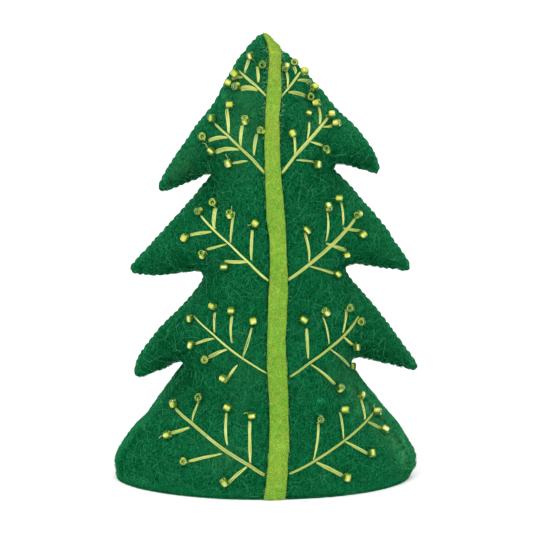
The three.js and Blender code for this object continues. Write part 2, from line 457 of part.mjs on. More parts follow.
// glass seed bead: six-sided barrel about a unit axis
function barrel(centre, axis, r, l) {
  const N = 6, v = [], t = [];
  const ref = Math.abs(axis.y) < 0.9 ? new THREE.Vector3(0, 1, 0) : new THREE.Vector3(1, 0, 0);
  const e1 = ref.clone().cross(axis).normalize(), e2 = axis.clone().cross(e1).normalize();
  const rings = [[-l / 2, r * 0.72], [0, r], [l / 2, r * 0.72]];
  for (const [h, q] of rings) for (let i = 0; i < N; i++) {
    const a = (i + 0.5) / N * 2 * Math.PI;
    v.push(centre.clone().addScaledVector(axis, h).addScaledVector(e1, q * Math.cos(a)).addScaledVector(e2, q * Math.sin(a)).toArray());
  }
  for (let k = 0; k < 2; k++) for (let i = 0; i < N; i++) {
    const j = (i + 1) % N, a = k * N + i, b = k * N + j;
    t.push([a, b, b + N], [a, b + N, a + N]);
  }
  for (let i = 1; i + 1 < N; i++) { t.push([0, i + 1, i], [2 * N, 2 * N + i, 2 * N + i + 1]); }
  return [v, orient(v, t)];
}

// ---------------------------------------------------------------- sprigs and beads
const legs = [];
for (const [key, s] of Object.entries(SPRIGS)) {
  const beads = s.beads.map(([x, z, kind, turn]) => {
    // a bead keeps to the felt: pull it in until its centre is over the edge
    let p = [x, z];
    const root = s.stem[Math.floor(s.stem.length / 2)];
    for (let i = 0; i < 60 && !insidePoly(p, LOOP) && polyDist(p, LOOP) > 0.2; i++) {
      const d = sub(root, p), l = len(d);
      p = [p[0] + d[0] / l * 0.15, p[1] + d[1] / l * 0.15];
    }
    let leg = p.slice();
    for (let i = 0; i < 60 && (polyDist(leg, LOOP) < 1.9 || heightAt(INNER, leg[0], leg[1]) < 1.7); i++) {
      const d = sub(root, leg), l = len(d);
      leg = [leg[0] + d[0] / l * 0.1, leg[1] + d[1] / l * 0.1];
    }
    return { p, leg, kind, turn };
  });
  // floss: stem and twigs, cut short of every bead
  const clearOf = (pts, half, fromRoot) => {
    const L = polyLen(pts);
    let out = [], best = [];
    for (let q = 0; q <= L; q += 0.2) {
      const p = polyAt(pts, q);
      if (nearStrip(p, half) || beads.some((b) => dist(p, b.p) < BEAD_R + (key[0] === '1' ? 1.0 : 0.45) + half * 0.8)) { if (fromRoot && out.length) break; out = []; }
      else { out.push(p); if (out.length > best.length) best = out.slice(); }
    }
    return best;
  };
  const lift = GAP + 0.3 + FLOSS_HALF_HEIGHT;
  const nearStrip = (p, half) => {
    const i = Math.max(1, STRIP.findIndex((r) => r[0] > p[1]));
    const a = STRIP[i - 1], b = STRIP[i], t = (p[1] - a[0]) / (b[0] - a[0]);
    const l = a[1] + t * (b[1] - a[1]), r = a[2] + t * (b[2] - a[2]);
    return p[0] > l - 0.4 - half && p[0] < r + 0.4 + half;
  };
  const stemHalf = s.w / 2;
  const stem = divide(clearOf(s.stem, stemHalf), 2.6);
  const rods = [rod(onFelt(stem, lift), (u) => stemHalf * (1 - 0.25 * u ** 3), FLOSS_HALF_HEIGHT)];
  for (const [a, b, mid, w] of s.twigs) {
    const c = mid || [(a[0] + b[0]) / 2, (a[1] + b[1]) / 2];
    // the twig starts on the stem's centre line
    let best = stem[0], bd = 1e9;
    for (let q = 0; q <= 1; q += 0.01) { const p = polyAt(stem, q * polyLen(stem)); const d = dist(p, a); if (d < bd) { bd = d; best = p; } }
    const curve = new THREE.QuadraticBezierCurve(new THREE.Vector2(...best), new THREE.Vector2(2 * c[0] - (best[0] + b[0]) / 2, 2 * c[1] - (best[1] + b[1]) / 2), new THREE.Vector2(...b));
    const half = w / 2;
    const run = clearOf(curve.getPoints(12).map((p) => [p.x, p.y]), half, true);
    if (run.length < 6) continue;
    const pts = divide(run, 2.7);
    rods.push(rod(onFelt(pts, lift), (u) => half * (0.6 + 0.55 * Math.sin(Math.PI * Math.min(1, 0.08 + u * 0.92))), FLOSS_HALF_HEIGHT * 0.96));
  }
  let m = null;
  for (const r of rods) m = m ? m.add(toManifold(...r)) : toManifold(...r);
  addMesh(`sprig_${key}`, ...fromManifold(m), fabric(COLOUR.floss, 0.7));

  // beads on one beading thread that runs behind the felt
  const parts = [];
  const backPath = (pts) => behindFelt(divide(pts, 7.5, 1), GAP + LEG + 0.4);
  const hub = s.stem.map((p) => p.slice());
  const inner = divide(clearOfSeam(hub), 6.5);
  const run = behindFelt(inner, GAP + LEG + 0.4);
  parts.push(rod(run, LEG, LEG, 1));
  for (const b of beads) {
    const { p, leg } = b;
    const n = frontNormal(p[0], p[1]);
    const ang = b.turn * Math.PI / 180;
    const flat = new THREE.Vector3(Math.cos(ang), 0, Math.sin(ang));
    const axis = b.kind === 'r' ? n.clone() : flat.addScaledVector(n, -flat.dot(n)).normalize();
    const rise = (GAP + 0.25 + (b.kind === 'r' ? BEAD_LEN / 2 : BEAD_R)) * Math.min(2, 1 / Math.abs(n.y));
    const c = new THREE.Vector3(p[0], -Math.max(heightAt(OUTER, p[0], p[1]), 1.55) - rise, p[1]);
    parts.push(barrel(c, axis, BEAD_R, BEAD_LEN));
    const yTop = dist(leg, p) > 0.3 ? -heightAt(OUTER, leg[0], leg[1]) - GAP - 0.75 : c.y, yEnd = -(heightAt(INNER, leg[0], leg[1]) - GAP - LEG - 1.15);
    parts.push(prismY(leg[0], leg[1], LEG, yTop, yEnd));
    if (dist(leg, p) > 0.3) parts.push(rod([{ p: new THREE.Vector3(leg[0], yTop + 0.25, leg[1]), n: new THREE.Vector3(1, 0, 0) }, { p: c, n: new THREE.Vector3(1, 0, 0) }], LEG, LEG, 1));
    // branch behind the felt from the leg to the nearest point of the run
    let best = run[0].p, bd = 1e9;
    for (let i = 0; i + 1 < run.length; i++) for (let q = 0; q <= 1; q += 0.05) {
      const r = run[i].p.clone().lerp(run[i + 1].p, q), d = Math.hypot(r.x - leg[0], r.z - leg[1]);
      if (d < bd) { bd = d; best = r; }
    }
    if (bd > 0.1) {
      const branch = backPath([[best.x, best.z], leg]);
      branch[0].p.copy(best);
      parts.push(rod(branch, LEG, LEG, 1));
    }
    legs.push(leg);
  }
  let bm = null;
  for (const r of parts) bm = bm ? bm.add(toManifold(...r)) : toManifold(...r);
  addMesh(`beads_${key}`, ...fromManifold(bm), new THREE.MeshStandardMaterial({ color: COLOUR.bead, roughness: 0.12, metalness: 0 }));
}
function clearOfSeam(pts) {
  const L = polyLen(pts), out = [];
  for (let q = 0; q <= L; q += 0.2) { const p = polyAt(pts, q); if (polyDist(p, LOOP) > 2.2 && heightAt(INNER, p[0], p[1]) > 1.8) out.push(p); }
  return out;
}

// ---------------------------------------------------------------- panels
{
  let front = toManifold(...shell(-1));
  for (const [x, z] of legs) front = front.subtract(toManifold(...prismY(x, z, HOLE, -40, -0.05)));
  addMesh('front_panel', ...fromManifold(front), feltMat());
  addMesh('back_panel', ...shell(1), feltMat());
}

// base panel: flat oval with the rim of the two panels
{
  const rim = LOOP.map((p, i) => [p, i]).filter(([p]) => isFoot(p)).map(([p, i]) => [p[0], OUTER[i]]).sort((a, b) => a[0] - b[0]);
  const ring = [...rim.map(([x, y]) => [x, -y]), ...rim.slice().reverse().map(([x, y]) => [x, y])];
  const n = ring.length, v = [], t = [];
  for (const z of [0, BASE_THICK]) ring.forEach(([x, y]) => v.push([x, y, z]));
  v.push([X_MID, 0, 0], [X_MID, 0, BASE_THICK]);
  for (let i = 0; i < n; i++) {
    const j = (i + 1) % n;
    t.push([i, j, j + n], [i, j + n, i + n], [2 * n, j, i], [2 * n + 1, i + n, j + n]);
  }
  addMesh('base_panel', v, t, feltMat());
  // stitching of the base: a cord round the joint of base and panels
  const c = ring.map(([x, y]) => new THREE.Vector3(x, y, (BASE_THICK + FOOT_Z) / 2));
  const r = THREAD_R, sv = [], st = [];
  const m = c.length;
  for (let i = 0; i < m; i++) {
    const tan = c[(i + 1) % m].clone().sub(c[(i + m - 1) % m]).normalize();
    const out = new THREE.Vector3(tan.y, -tan.x, 0);
    const o = c[i].clone().addScaledVector(out, GAP + r);
    for (const [a, b] of [[-r, 0], [0, -r], [r, 0], [0, r]]) sv.push(o.clone().addScaledVector(out, a).add(new THREE.Vector3(0, 0, b)).toArray());
  }
  for (let i = 0; i < m; i++) for (let k = 0; k < 4; k++) {
    const a = i * 4 + k, b = i * 4 + (k + 1) % 4, d = ((i + 1) % m) * 4 + k, e = ((i + 1) % m) * 4 + (k + 1) % 4;
    st.push([a, b, e], [a, e, d]);
  }
  addMesh('base_seam_thread', sv, orient(sv, st), fabric(COLOUR.tack));
}

// stuffing: soft core, clear of the felt and of the thread runs behind it
{
  const loop0 = offsetLoop(LOOP, -5.2).map((p) => [p[0], Math.max(p[1], FOOT_Z + 0.9)]);
  const lowCut = loop0.filter((p) => p[1] > FOOT_Z + 6);
  const low = [[FOOT_RIGHT - 6, FOOT_Z + 0.4], [FOOT_LEFT + 6, FOOT_Z + 0.4]];
  const iFoot = lowCut.findIndex((p, i) => p[0] > 0 && lowCut[(i + 1) % lowCut.length][0] < 0 && p[1] < 30);
  const loop = [...lowCut.slice(0, iFoot + 1), ...low, ...lowCut.slice(iFoot + 1)];
  const core = meshPolygon(resample(loop, 5.5, 40), 6.5), n = core.pts.length, verts = [], tris = [];
  const half = core.pts.map(([x, z]) => Math.max(0.4, heightAt(INNER, x, z) - 3.5));
  for (const side of [-1, 1]) core.pts.forEach((p, i) => verts.push([p[0], side * half[i], p[1]]));
  for (const [a, b, c] of core.tris) tris.push([a, b, c], [a + n, c + n, b + n]);
  for (let i = 0; i < core.nLoop; i++) { const j = (i + 1) % core.nLoop; tris.push([i, j, j + n], [i, j + n, i + n]); }
  addMesh('stuffing', verts, tris, fabric(COLOUR.stuffing, 1));
}

// ---------------------------------------------------------------- trunk strip, up the front, over the tip and down the back
{
  const rows = [];
  const zTop = HEIGHT_TIP - 3.2;
  const front = STRIP.filter(([z]) => z < zTop);
  const half = ([z, l, r]) => [(l + r) / 2, (r - l) / 2];
  const dense = [];
  for (let i = 0; i + 1 < front.length; i++) {
    dense.push(front[i]);
    if (front[i + 1][0] - front[i][0] > 9) dense.push(front[i].map((e, k) => (e + front[i + 1][k]) / 2));
  }
  dense.push(front[front.length - 1]);
  dense[0][0] = FOOT_Z + 0.9;
  const tuck = 0.42;
  for (const [z, l, r] of dense) {
    const cols = [l, (2 * l + r) / 3, (l + 2 * r) / 3, r].map((x) => {
      const n = frontNormal(x, z), y = -Math.max(heightAt(OUTER, x, z), 1.6);
      const a = new THREE.Vector3(x, y, z).addScaledVector(n, tuck);
      return [a, a.clone().addScaledVector(n, STRIP_THICK)];
    });
    rows.push(cols);
  }
  const last = STRIP[STRIP.length - 3], [cx, hw] = half(last);
  const arcZ = HEIGHT_TIP + 0.32, yF = heightAt(OUTER, cx, zTop) + tuck;
  const prof = [[-yF * 0.86, zTop + 1.5], [-1.95, arcZ - 0.35], [-1.2, arcZ], [1.2, arcZ], [1.95, arcZ - 0.35], [yF * 0.86, zTop + 1.5]];
  const nrm = [[-0.93, 0.36], [-0.83, 0.56], [-0.35, 0.94], [0.35, 0.94], [0.83, 0.56], [0.93, 0.36]];
  prof.forEach(([y, z], i) => {
    const n = new THREE.Vector3(0, nrm[i][0], nrm[i][1]).normalize();
    const w = hw * (i === 0 || i === 5 ? 0.96 : 0.86), c = cx - 0.5 * Math.min(1, i / 2);
    rows.push([-1, -1 / 3, 1 / 3, 1].map((k) => { const a = new THREE.Vector3(c + k * w, y, z); return [a, a.clone().addScaledVector(n, STRIP_THICK)]; }));
  });
  for (const z of [zTop - 0.5, zTop - 5, zTop - 10, zTop - 14]) {
    const c = cx - 0.5, w = hw;
    rows.push([-1, -1 / 3, 1 / 3, 1].map((k) => {
      const x = c + k * w, n = frontNormal(x, z), y = Math.max(heightAt(OUTER, x, z), 1.6);
      n.y *= -1;
      const a = new THREE.Vector3(x, y, z).addScaledVector(n, tuck + 0.25);
      return [a, a.clone().addScaledVector(n, STRIP_THICK)];
    }));
  }
  const v = [], t = [], C = 4, id = (i, j, s) => (i * C + j) * 2 + s;
  rows.forEach((row) => row.forEach(([a, b]) => v.push(a.toArray(), b.toArray())));
  const R = rows.length;
  for (let i = 0; i + 1 < R; i++) {
    for (let j = 0; j + 1 < C; j++) {
      t.push([id(i, j, 1), id(i, j + 1, 1), id(i + 1, j + 1, 1)], [id(i, j, 1), id(i + 1, j + 1, 1), id(i + 1, j, 1)]);
      t.push([id(i, j, 0), id(i + 1, j + 1, 0), id(i, j + 1, 0)], [id(i, j, 0), id(i + 1, j, 0), id(i + 1, j + 1, 0)]);
    }
    t.push([id(i, 0, 0), id(i, 0, 1), id(i + 1, 0, 1)], [id(i, 0, 0), id(i + 1, 0, 1), id(i + 1, 0, 0)]);
    t.push([id(i, C - 1, 0), id(i + 1, C - 1, 1), id(i, C - 1, 1)], [id(i, C - 1, 0), id(i + 1, C - 1, 0), id(i + 1, C - 1, 1)]);
  }
  for (let j = 0; j + 1 < C; j++) {
    t.push([id(0, j, 0), id(0, j + 1, 0), id(0, j + 1, 1)], [id(0, j, 0), id(0, j + 1, 1), id(0, j, 1)]);
    t.push([id(R - 1, j, 0), id(R - 1, j + 1, 1), id(R - 1, j + 1, 0)], [id(R - 1, j, 0), id(R - 1, j, 1), id(R - 1, j + 1, 1)]);
  }
  addMesh('trunk_strip', v, orient(v, t), fabric(COLOUR.strip));
}

// ---------------------------------------------------------------- side seam threads, along the joint of the two panels
for (const [name, sgn] of [['side_seam_thread_right', 1], ['side_seam_thread_left', -1]]) {
  const off = offsetLoop(LOOP, GAP + THREAD_R);
  const tip = off.reduce((b, p, i) => (p[1] > off[b][1] ? i : b), 0);
  const n = off.length;
  let path = [];
  for (let k = 0; k < n; k++) {
    const p = off[(tip + sgn * k + n * 4) % n];
    if (p[1] < FOOT_Z + 2.4) break;
    path.push(p);
  }
  path = path.filter((p) => !(p[1] > HEIGHT_TIP - 3.4 && p[0] > -5.2 && p[0] < 5.4));
  addMesh(name, ...rod(path.map(([x, z]) => ({ p: new THREE.Vector3(x, 0, z), n: new THREE.Vector3(0, -1, 0) })), THREAD_R, THREAD_R, 0.75), fabric(COLOUR.tack));
}

// ---------------------------------------------------------------- assemble; origin at the middle of the footprint
const group = new THREE.Group();
solids.forEach((m) => group.add(m));
const box = new THREE.Box3().setFromObject(group);
const shiftX = -(box.min.x + box.max.x) / 2, shiftY = -(box.min.y + box.max.y) / 2;
solids.forEach((m) => { m.position.set(shiftX, shiftY, 0); });
export default group;
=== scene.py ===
import math

import bpy
import numpy as np
from mathutils import Matrix, Vector
from mathutils.bvhtree import BVHTree
from mathutils.geometry import delaunay_2d_cdt


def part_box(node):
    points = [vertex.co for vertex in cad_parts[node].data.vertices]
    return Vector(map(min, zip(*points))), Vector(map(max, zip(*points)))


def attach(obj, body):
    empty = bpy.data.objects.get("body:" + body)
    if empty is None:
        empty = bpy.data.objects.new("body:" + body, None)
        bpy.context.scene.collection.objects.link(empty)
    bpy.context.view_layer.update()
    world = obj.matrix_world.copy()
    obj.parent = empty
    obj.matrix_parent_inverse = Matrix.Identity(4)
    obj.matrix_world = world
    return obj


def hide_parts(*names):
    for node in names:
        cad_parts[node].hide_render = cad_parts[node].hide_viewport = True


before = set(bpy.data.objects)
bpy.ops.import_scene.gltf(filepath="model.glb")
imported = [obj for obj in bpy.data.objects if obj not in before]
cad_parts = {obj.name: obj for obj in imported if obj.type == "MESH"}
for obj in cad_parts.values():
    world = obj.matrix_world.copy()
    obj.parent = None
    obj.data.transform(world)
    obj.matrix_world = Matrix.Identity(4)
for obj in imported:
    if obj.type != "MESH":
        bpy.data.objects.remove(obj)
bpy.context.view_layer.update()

# ------------------------------------------------------------------ measures, all in millimetres
MM = 0.001
FOOT_Z = 0.55
FOOT_L, FOOT_R = -46.4, 44.0
XC, XA = (FOOT_L + FOOT_R) / 2, (FOOT_R - FOOT_L) / 2
BULGE, FILL = 22.4, 2.35
OVAL = 0.55             # the foot is a little sharper at its two ends than an ellipse
TIP_Z = 138.9
EDGE = 1.2            # half thickness of the sewn edge of the upper tiers
FELT = 1.3
PITCH = 2.25          # overcast stitches
SLANT = 0.55          # lean of one stitch along the edge

lo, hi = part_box("base_panel")
SX = (lo[0] + hi[0]) / 2 / MM + 1.05         # the frame's own shift; the foot's middle lies at x = -1.05
SY = (lo[1] + hi[1]) / 2 / MM
SHIFT = np.array([SX, SY, 0.0])

# outline of the sewn edge, clockwise from the tip (x, z)
OUTLINE = np.array([
    (-1.35, 138.90), (-0.35, 138.25), (0.75, 137.25), (1.95, 135.95), (3.15, 134.75), (4.30, 134.10), (5.30, 133.40), (6.46, 132.90),
    (7.54, 131.71), (8.51, 130.51), (9.53, 129.32), (10.87, 128.07), (12.17, 126.84), (13.36, 125.41), (14.60, 123.99), (15.86, 122.67),
    (17.09, 121.33), (18.07, 119.83), (19.19, 118.43), (20.43, 117.07), (21.51, 115.59), (22.65, 114.58), (23.81, 113.59), (24.93, 112.57),
    (26.22, 111.26), (27.51, 109.96), (28.71, 108.42), (29.91, 106.87), (30.88, 105.38), (31.93, 103.92), (32.68, 102.48), (33.34, 100.99),
    (33.76, 99.50), (34.33, 97.99), (33.76, 97.08), (33.15, 96.19), (31.56, 96.93), (30.07, 97.50), (28.38, 97.94), (26.74, 98.52),
    (25.23, 98.91), (23.73, 99.38), (22.50, 99.66), (21.12, 99.83), (19.95, 98.27), (20.70, 97.03), (21.96, 95.97), (23.11, 94.89),
    (24.24, 93.72), (25.36, 92.53), (26.46, 91.33), (27.28, 90.17), (28.15, 89.03), (29.06, 87.94), (30.03, 86.90), (31.01, 85.87),
    (31.97, 84.82), (33.07, 83.53), (34.16, 82.23), (35.15, 80.85), (36.29, 79.48), (37.32, 78.03), (38.16, 76.43), (38.85, 75.23),
    (39.72, 74.18), (40.58, 73.11), (41.49, 71.62), (42.56, 70.22), (43.33, 68.80), (43.82, 66.99), (42.38, 65.91), (40.80, 66.53),
    (39.24, 66.81), (37.64, 66.92), (36.00, 67.07), (34.39, 67.42), (32.78, 67.79), (31.15, 68.01), (29.52, 68.22), (27.88, 68.61),
    (26.46, 68.59), (24.84, 68.45), (23.75, 67.19), (24.17, 66.17), (24.58, 65.16), (25.39, 63.90), (26.25, 62.68), (27.54, 61.22),
    (28.86, 59.80), (29.87, 58.62), (30.84, 57.42), (31.83, 56.23), (32.90, 54.95), (33.99, 53.68), (34.99, 52.34), (35.97, 50.97),
    (36.99, 49.65), (38.01, 48.31), (38.94, 46.82), (39.97, 45.38), (41.05, 44.00), (41.98, 42.57), (43.01, 41.20), (44.06, 39.84),
    (44.90, 38.57), (45.69, 37.27), (46.51, 35.81), (45.36, 34.58), (43.63, 35.24), (41.95, 35.73), (40.09, 36.22), (38.26, 36.84),
    (36.71, 37.11), (35.18, 37.41), (33.67, 37.80), (32.01, 38.34), (30.32, 38.78), (29.25, 39.11), (28.09, 39.56), (26.28, 38.96),
    (25.82, 37.34), (26.48, 35.91), (27.05, 34.75), (28.26, 33.23), (29.24, 31.63), (30.06, 30.54), (30.91, 29.47), (31.76, 28.40),
    (32.77, 27.15), (33.74, 25.86), (34.72, 24.57), (35.71, 23.30), (36.74, 22.07), (37.83, 20.87), (38.83, 19.76), (39.83, 18.63),
    (40.78, 17.46), (41.64, 15.96), (42.50, 14.46), (43.35, 13.05), (44.21, 11.64), (44.77, 10.53), (45.40, 9.45), (45.88, 8.20),
    (46.20, 6.90), (46.09, 5.57), (46.13, 4.14), (45.01, 2.65), (44.00, 0.55), (-46.40, 0.55), (-46.32, 2.70), (-46.74, 3.97),
    (-47.11, 5.26), (-46.69, 6.78), (-46.29, 8.29), (-45.59, 9.60), (-44.91, 10.94), (-44.13, 12.12), (-43.35, 13.35), (-42.55, 14.47),
    (-41.74, 15.56), (-40.83, 16.70), (-39.90, 17.82), (-38.73, 18.86), (-37.56, 19.90), (-36.47, 21.08), (-35.49, 22.80), (-34.38, 24.38),
    (-33.24, 25.95), (-32.26, 27.34), (-31.29, 28.74), (-30.32, 30.13), (-29.36, 31.53), (-28.40, 32.95), (-27.41, 34.36), (-26.21, 35.62),
    (-25.58, 36.54), (-25.06, 37.99), (-26.55, 38.06), (-27.64, 37.84), (-28.49, 37.12), (-29.34, 36.48), (-31.09, 35.51), (-32.44, 34.97),
    (-33.83, 34.53), (-35.19, 34.00), (-36.66, 33.19), (-38.24, 32.43), (-40.11, 32.68), (-40.43, 33.76), (-40.69, 34.74), (-40.35, 35.95),
    (-40.07, 37.16), (-39.41, 38.55), (-38.75, 39.92), (-37.82, 41.16), (-36.90, 42.47), (-35.94, 43.73), (-34.86, 45.16), (-33.81, 46.64),
    (-32.66, 48.02), (-31.39, 49.29), (-30.16, 50.62), (-28.84, 51.85), (-27.51, 53.09), (-26.20, 54.49), (-24.94, 55.94), (-23.66, 57.37),
    (-22.35, 58.83), (-21.48, 60.11), (-20.61, 61.34), (-19.75, 62.66), (-19.34, 63.77), (-18.90, 64.88), (-19.49, 65.82), (-20.12, 66.74),
    (-21.88, 66.50), (-23.34, 66.19), (-24.87, 65.92), (-26.40, 65.76), (-27.92, 65.53), (-29.43, 65.27), (-30.95, 65.07), (-32.47, 64.94),
    (-33.98, 64.89), (-35.51, 64.94), (-37.01, 65.03), (-38.62, 65.31), (-40.34, 65.33), (-41.71, 66.48), (-41.24, 67.62), (-40.61, 68.49),
    (-39.46, 69.64), (-38.41, 70.91), (-37.26, 72.07), (-36.11, 73.28), (-35.02, 74.54), (-33.93, 75.85), (-32.77, 77.09), (-31.64, 78.36),
    (-30.52, 79.64), (-29.29, 81.00), (-28.07, 82.36), (-26.84, 83.72), (-25.63, 85.09), (-24.52, 86.37), (-23.42, 87.66), (-22.29, 88.92),
    (-21.16, 90.21), (-20.41, 91.34), (-19.61, 92.43), (-18.77, 93.47), (-17.54, 94.55), (-17.00, 95.53), (-16.59, 96.82), (-17.66, 96.69),
    (-18.68, 96.47), (-19.80, 95.51), (-20.96, 94.85), (-22.68, 94.15), (-24.43, 93.51), (-26.12, 92.75), (-27.72, 92.07), (-29.37, 91.53),
    (-31.02, 90.86), (-32.55, 91.41), (-32.75, 92.65), (-32.30, 93.59), (-31.89, 94.53), (-31.23, 95.78), (-30.54, 97.03), (-29.80, 98.25),
    (-28.86, 99.71), (-27.92, 101.19), (-26.94, 102.63), (-26.02, 103.91), (-25.14, 105.24), (-24.21, 106.53), (-23.33, 107.80), (-22.51, 109.13),
    (-21.66, 110.43), (-20.58, 111.92), (-19.37, 113.32), (-18.22, 114.75), (-17.14, 116.14), (-16.13, 117.59), (-15.10, 119.06), (-14.42, 120.38),
    (-13.81, 121.72), (-13.19, 123.06), (-12.49, 124.41), (-11.75, 125.74), (-11.01, 127.06), (-10.29, 128.27), (-9.61, 129.51), (-9.00, 130.78),
    (-8.11, 131.87), (-7.17, 132.94), (-6.31, 134.07), (-5.32, 135.52), (-4.11, 136.74), (-3.24, 137.49), (-2.54, 138.50),
])
# trunk strip rows (z, left x, right x)
STRIP = np.array([
    (-0.12, -0.89, 5.50), (3.87, -0.15, 6.00), (9.37, 0.52, 6.14), (17.87, 0.90, 6.82), (24.53, 1.03, 6.33), (30.59, 0.90, 6.35),
    (36.64, 0.53, 6.00), (42.71, 0.25, 5.94), (47.26, 0.28, 5.45), (51.81, 0.41, 5.75), (57.88, 0.63, 6.06), (63.95, 0.74, 6.38),
    (70.03, 1.19, 6.08), (74.59, 1.16, 5.96), (79.13, 1.07, 5.80), (85.16, 0.23, 5.46), (91.16, 0.01, 4.90), (97.13, -0.11, 4.39),
    (103.09, -0.34, 3.95), (107.54, -0.50, 3.81), (111.95, -0.22, 3.77), (116.34, -0.04, 3.58), (120.68, -0.07, 4.30), (125.27, 0.38, 4.11),
    (129.24, 0.74, 3.91), (132.59, 0.97, 3.92), (134.76, 0.47, 4.08), (135.94, 0.17, 4.03), (137.24, -0.37, 3.58), (138.38, -0.78, 2.60),
    (139.34, -1.26, 1.19),
])
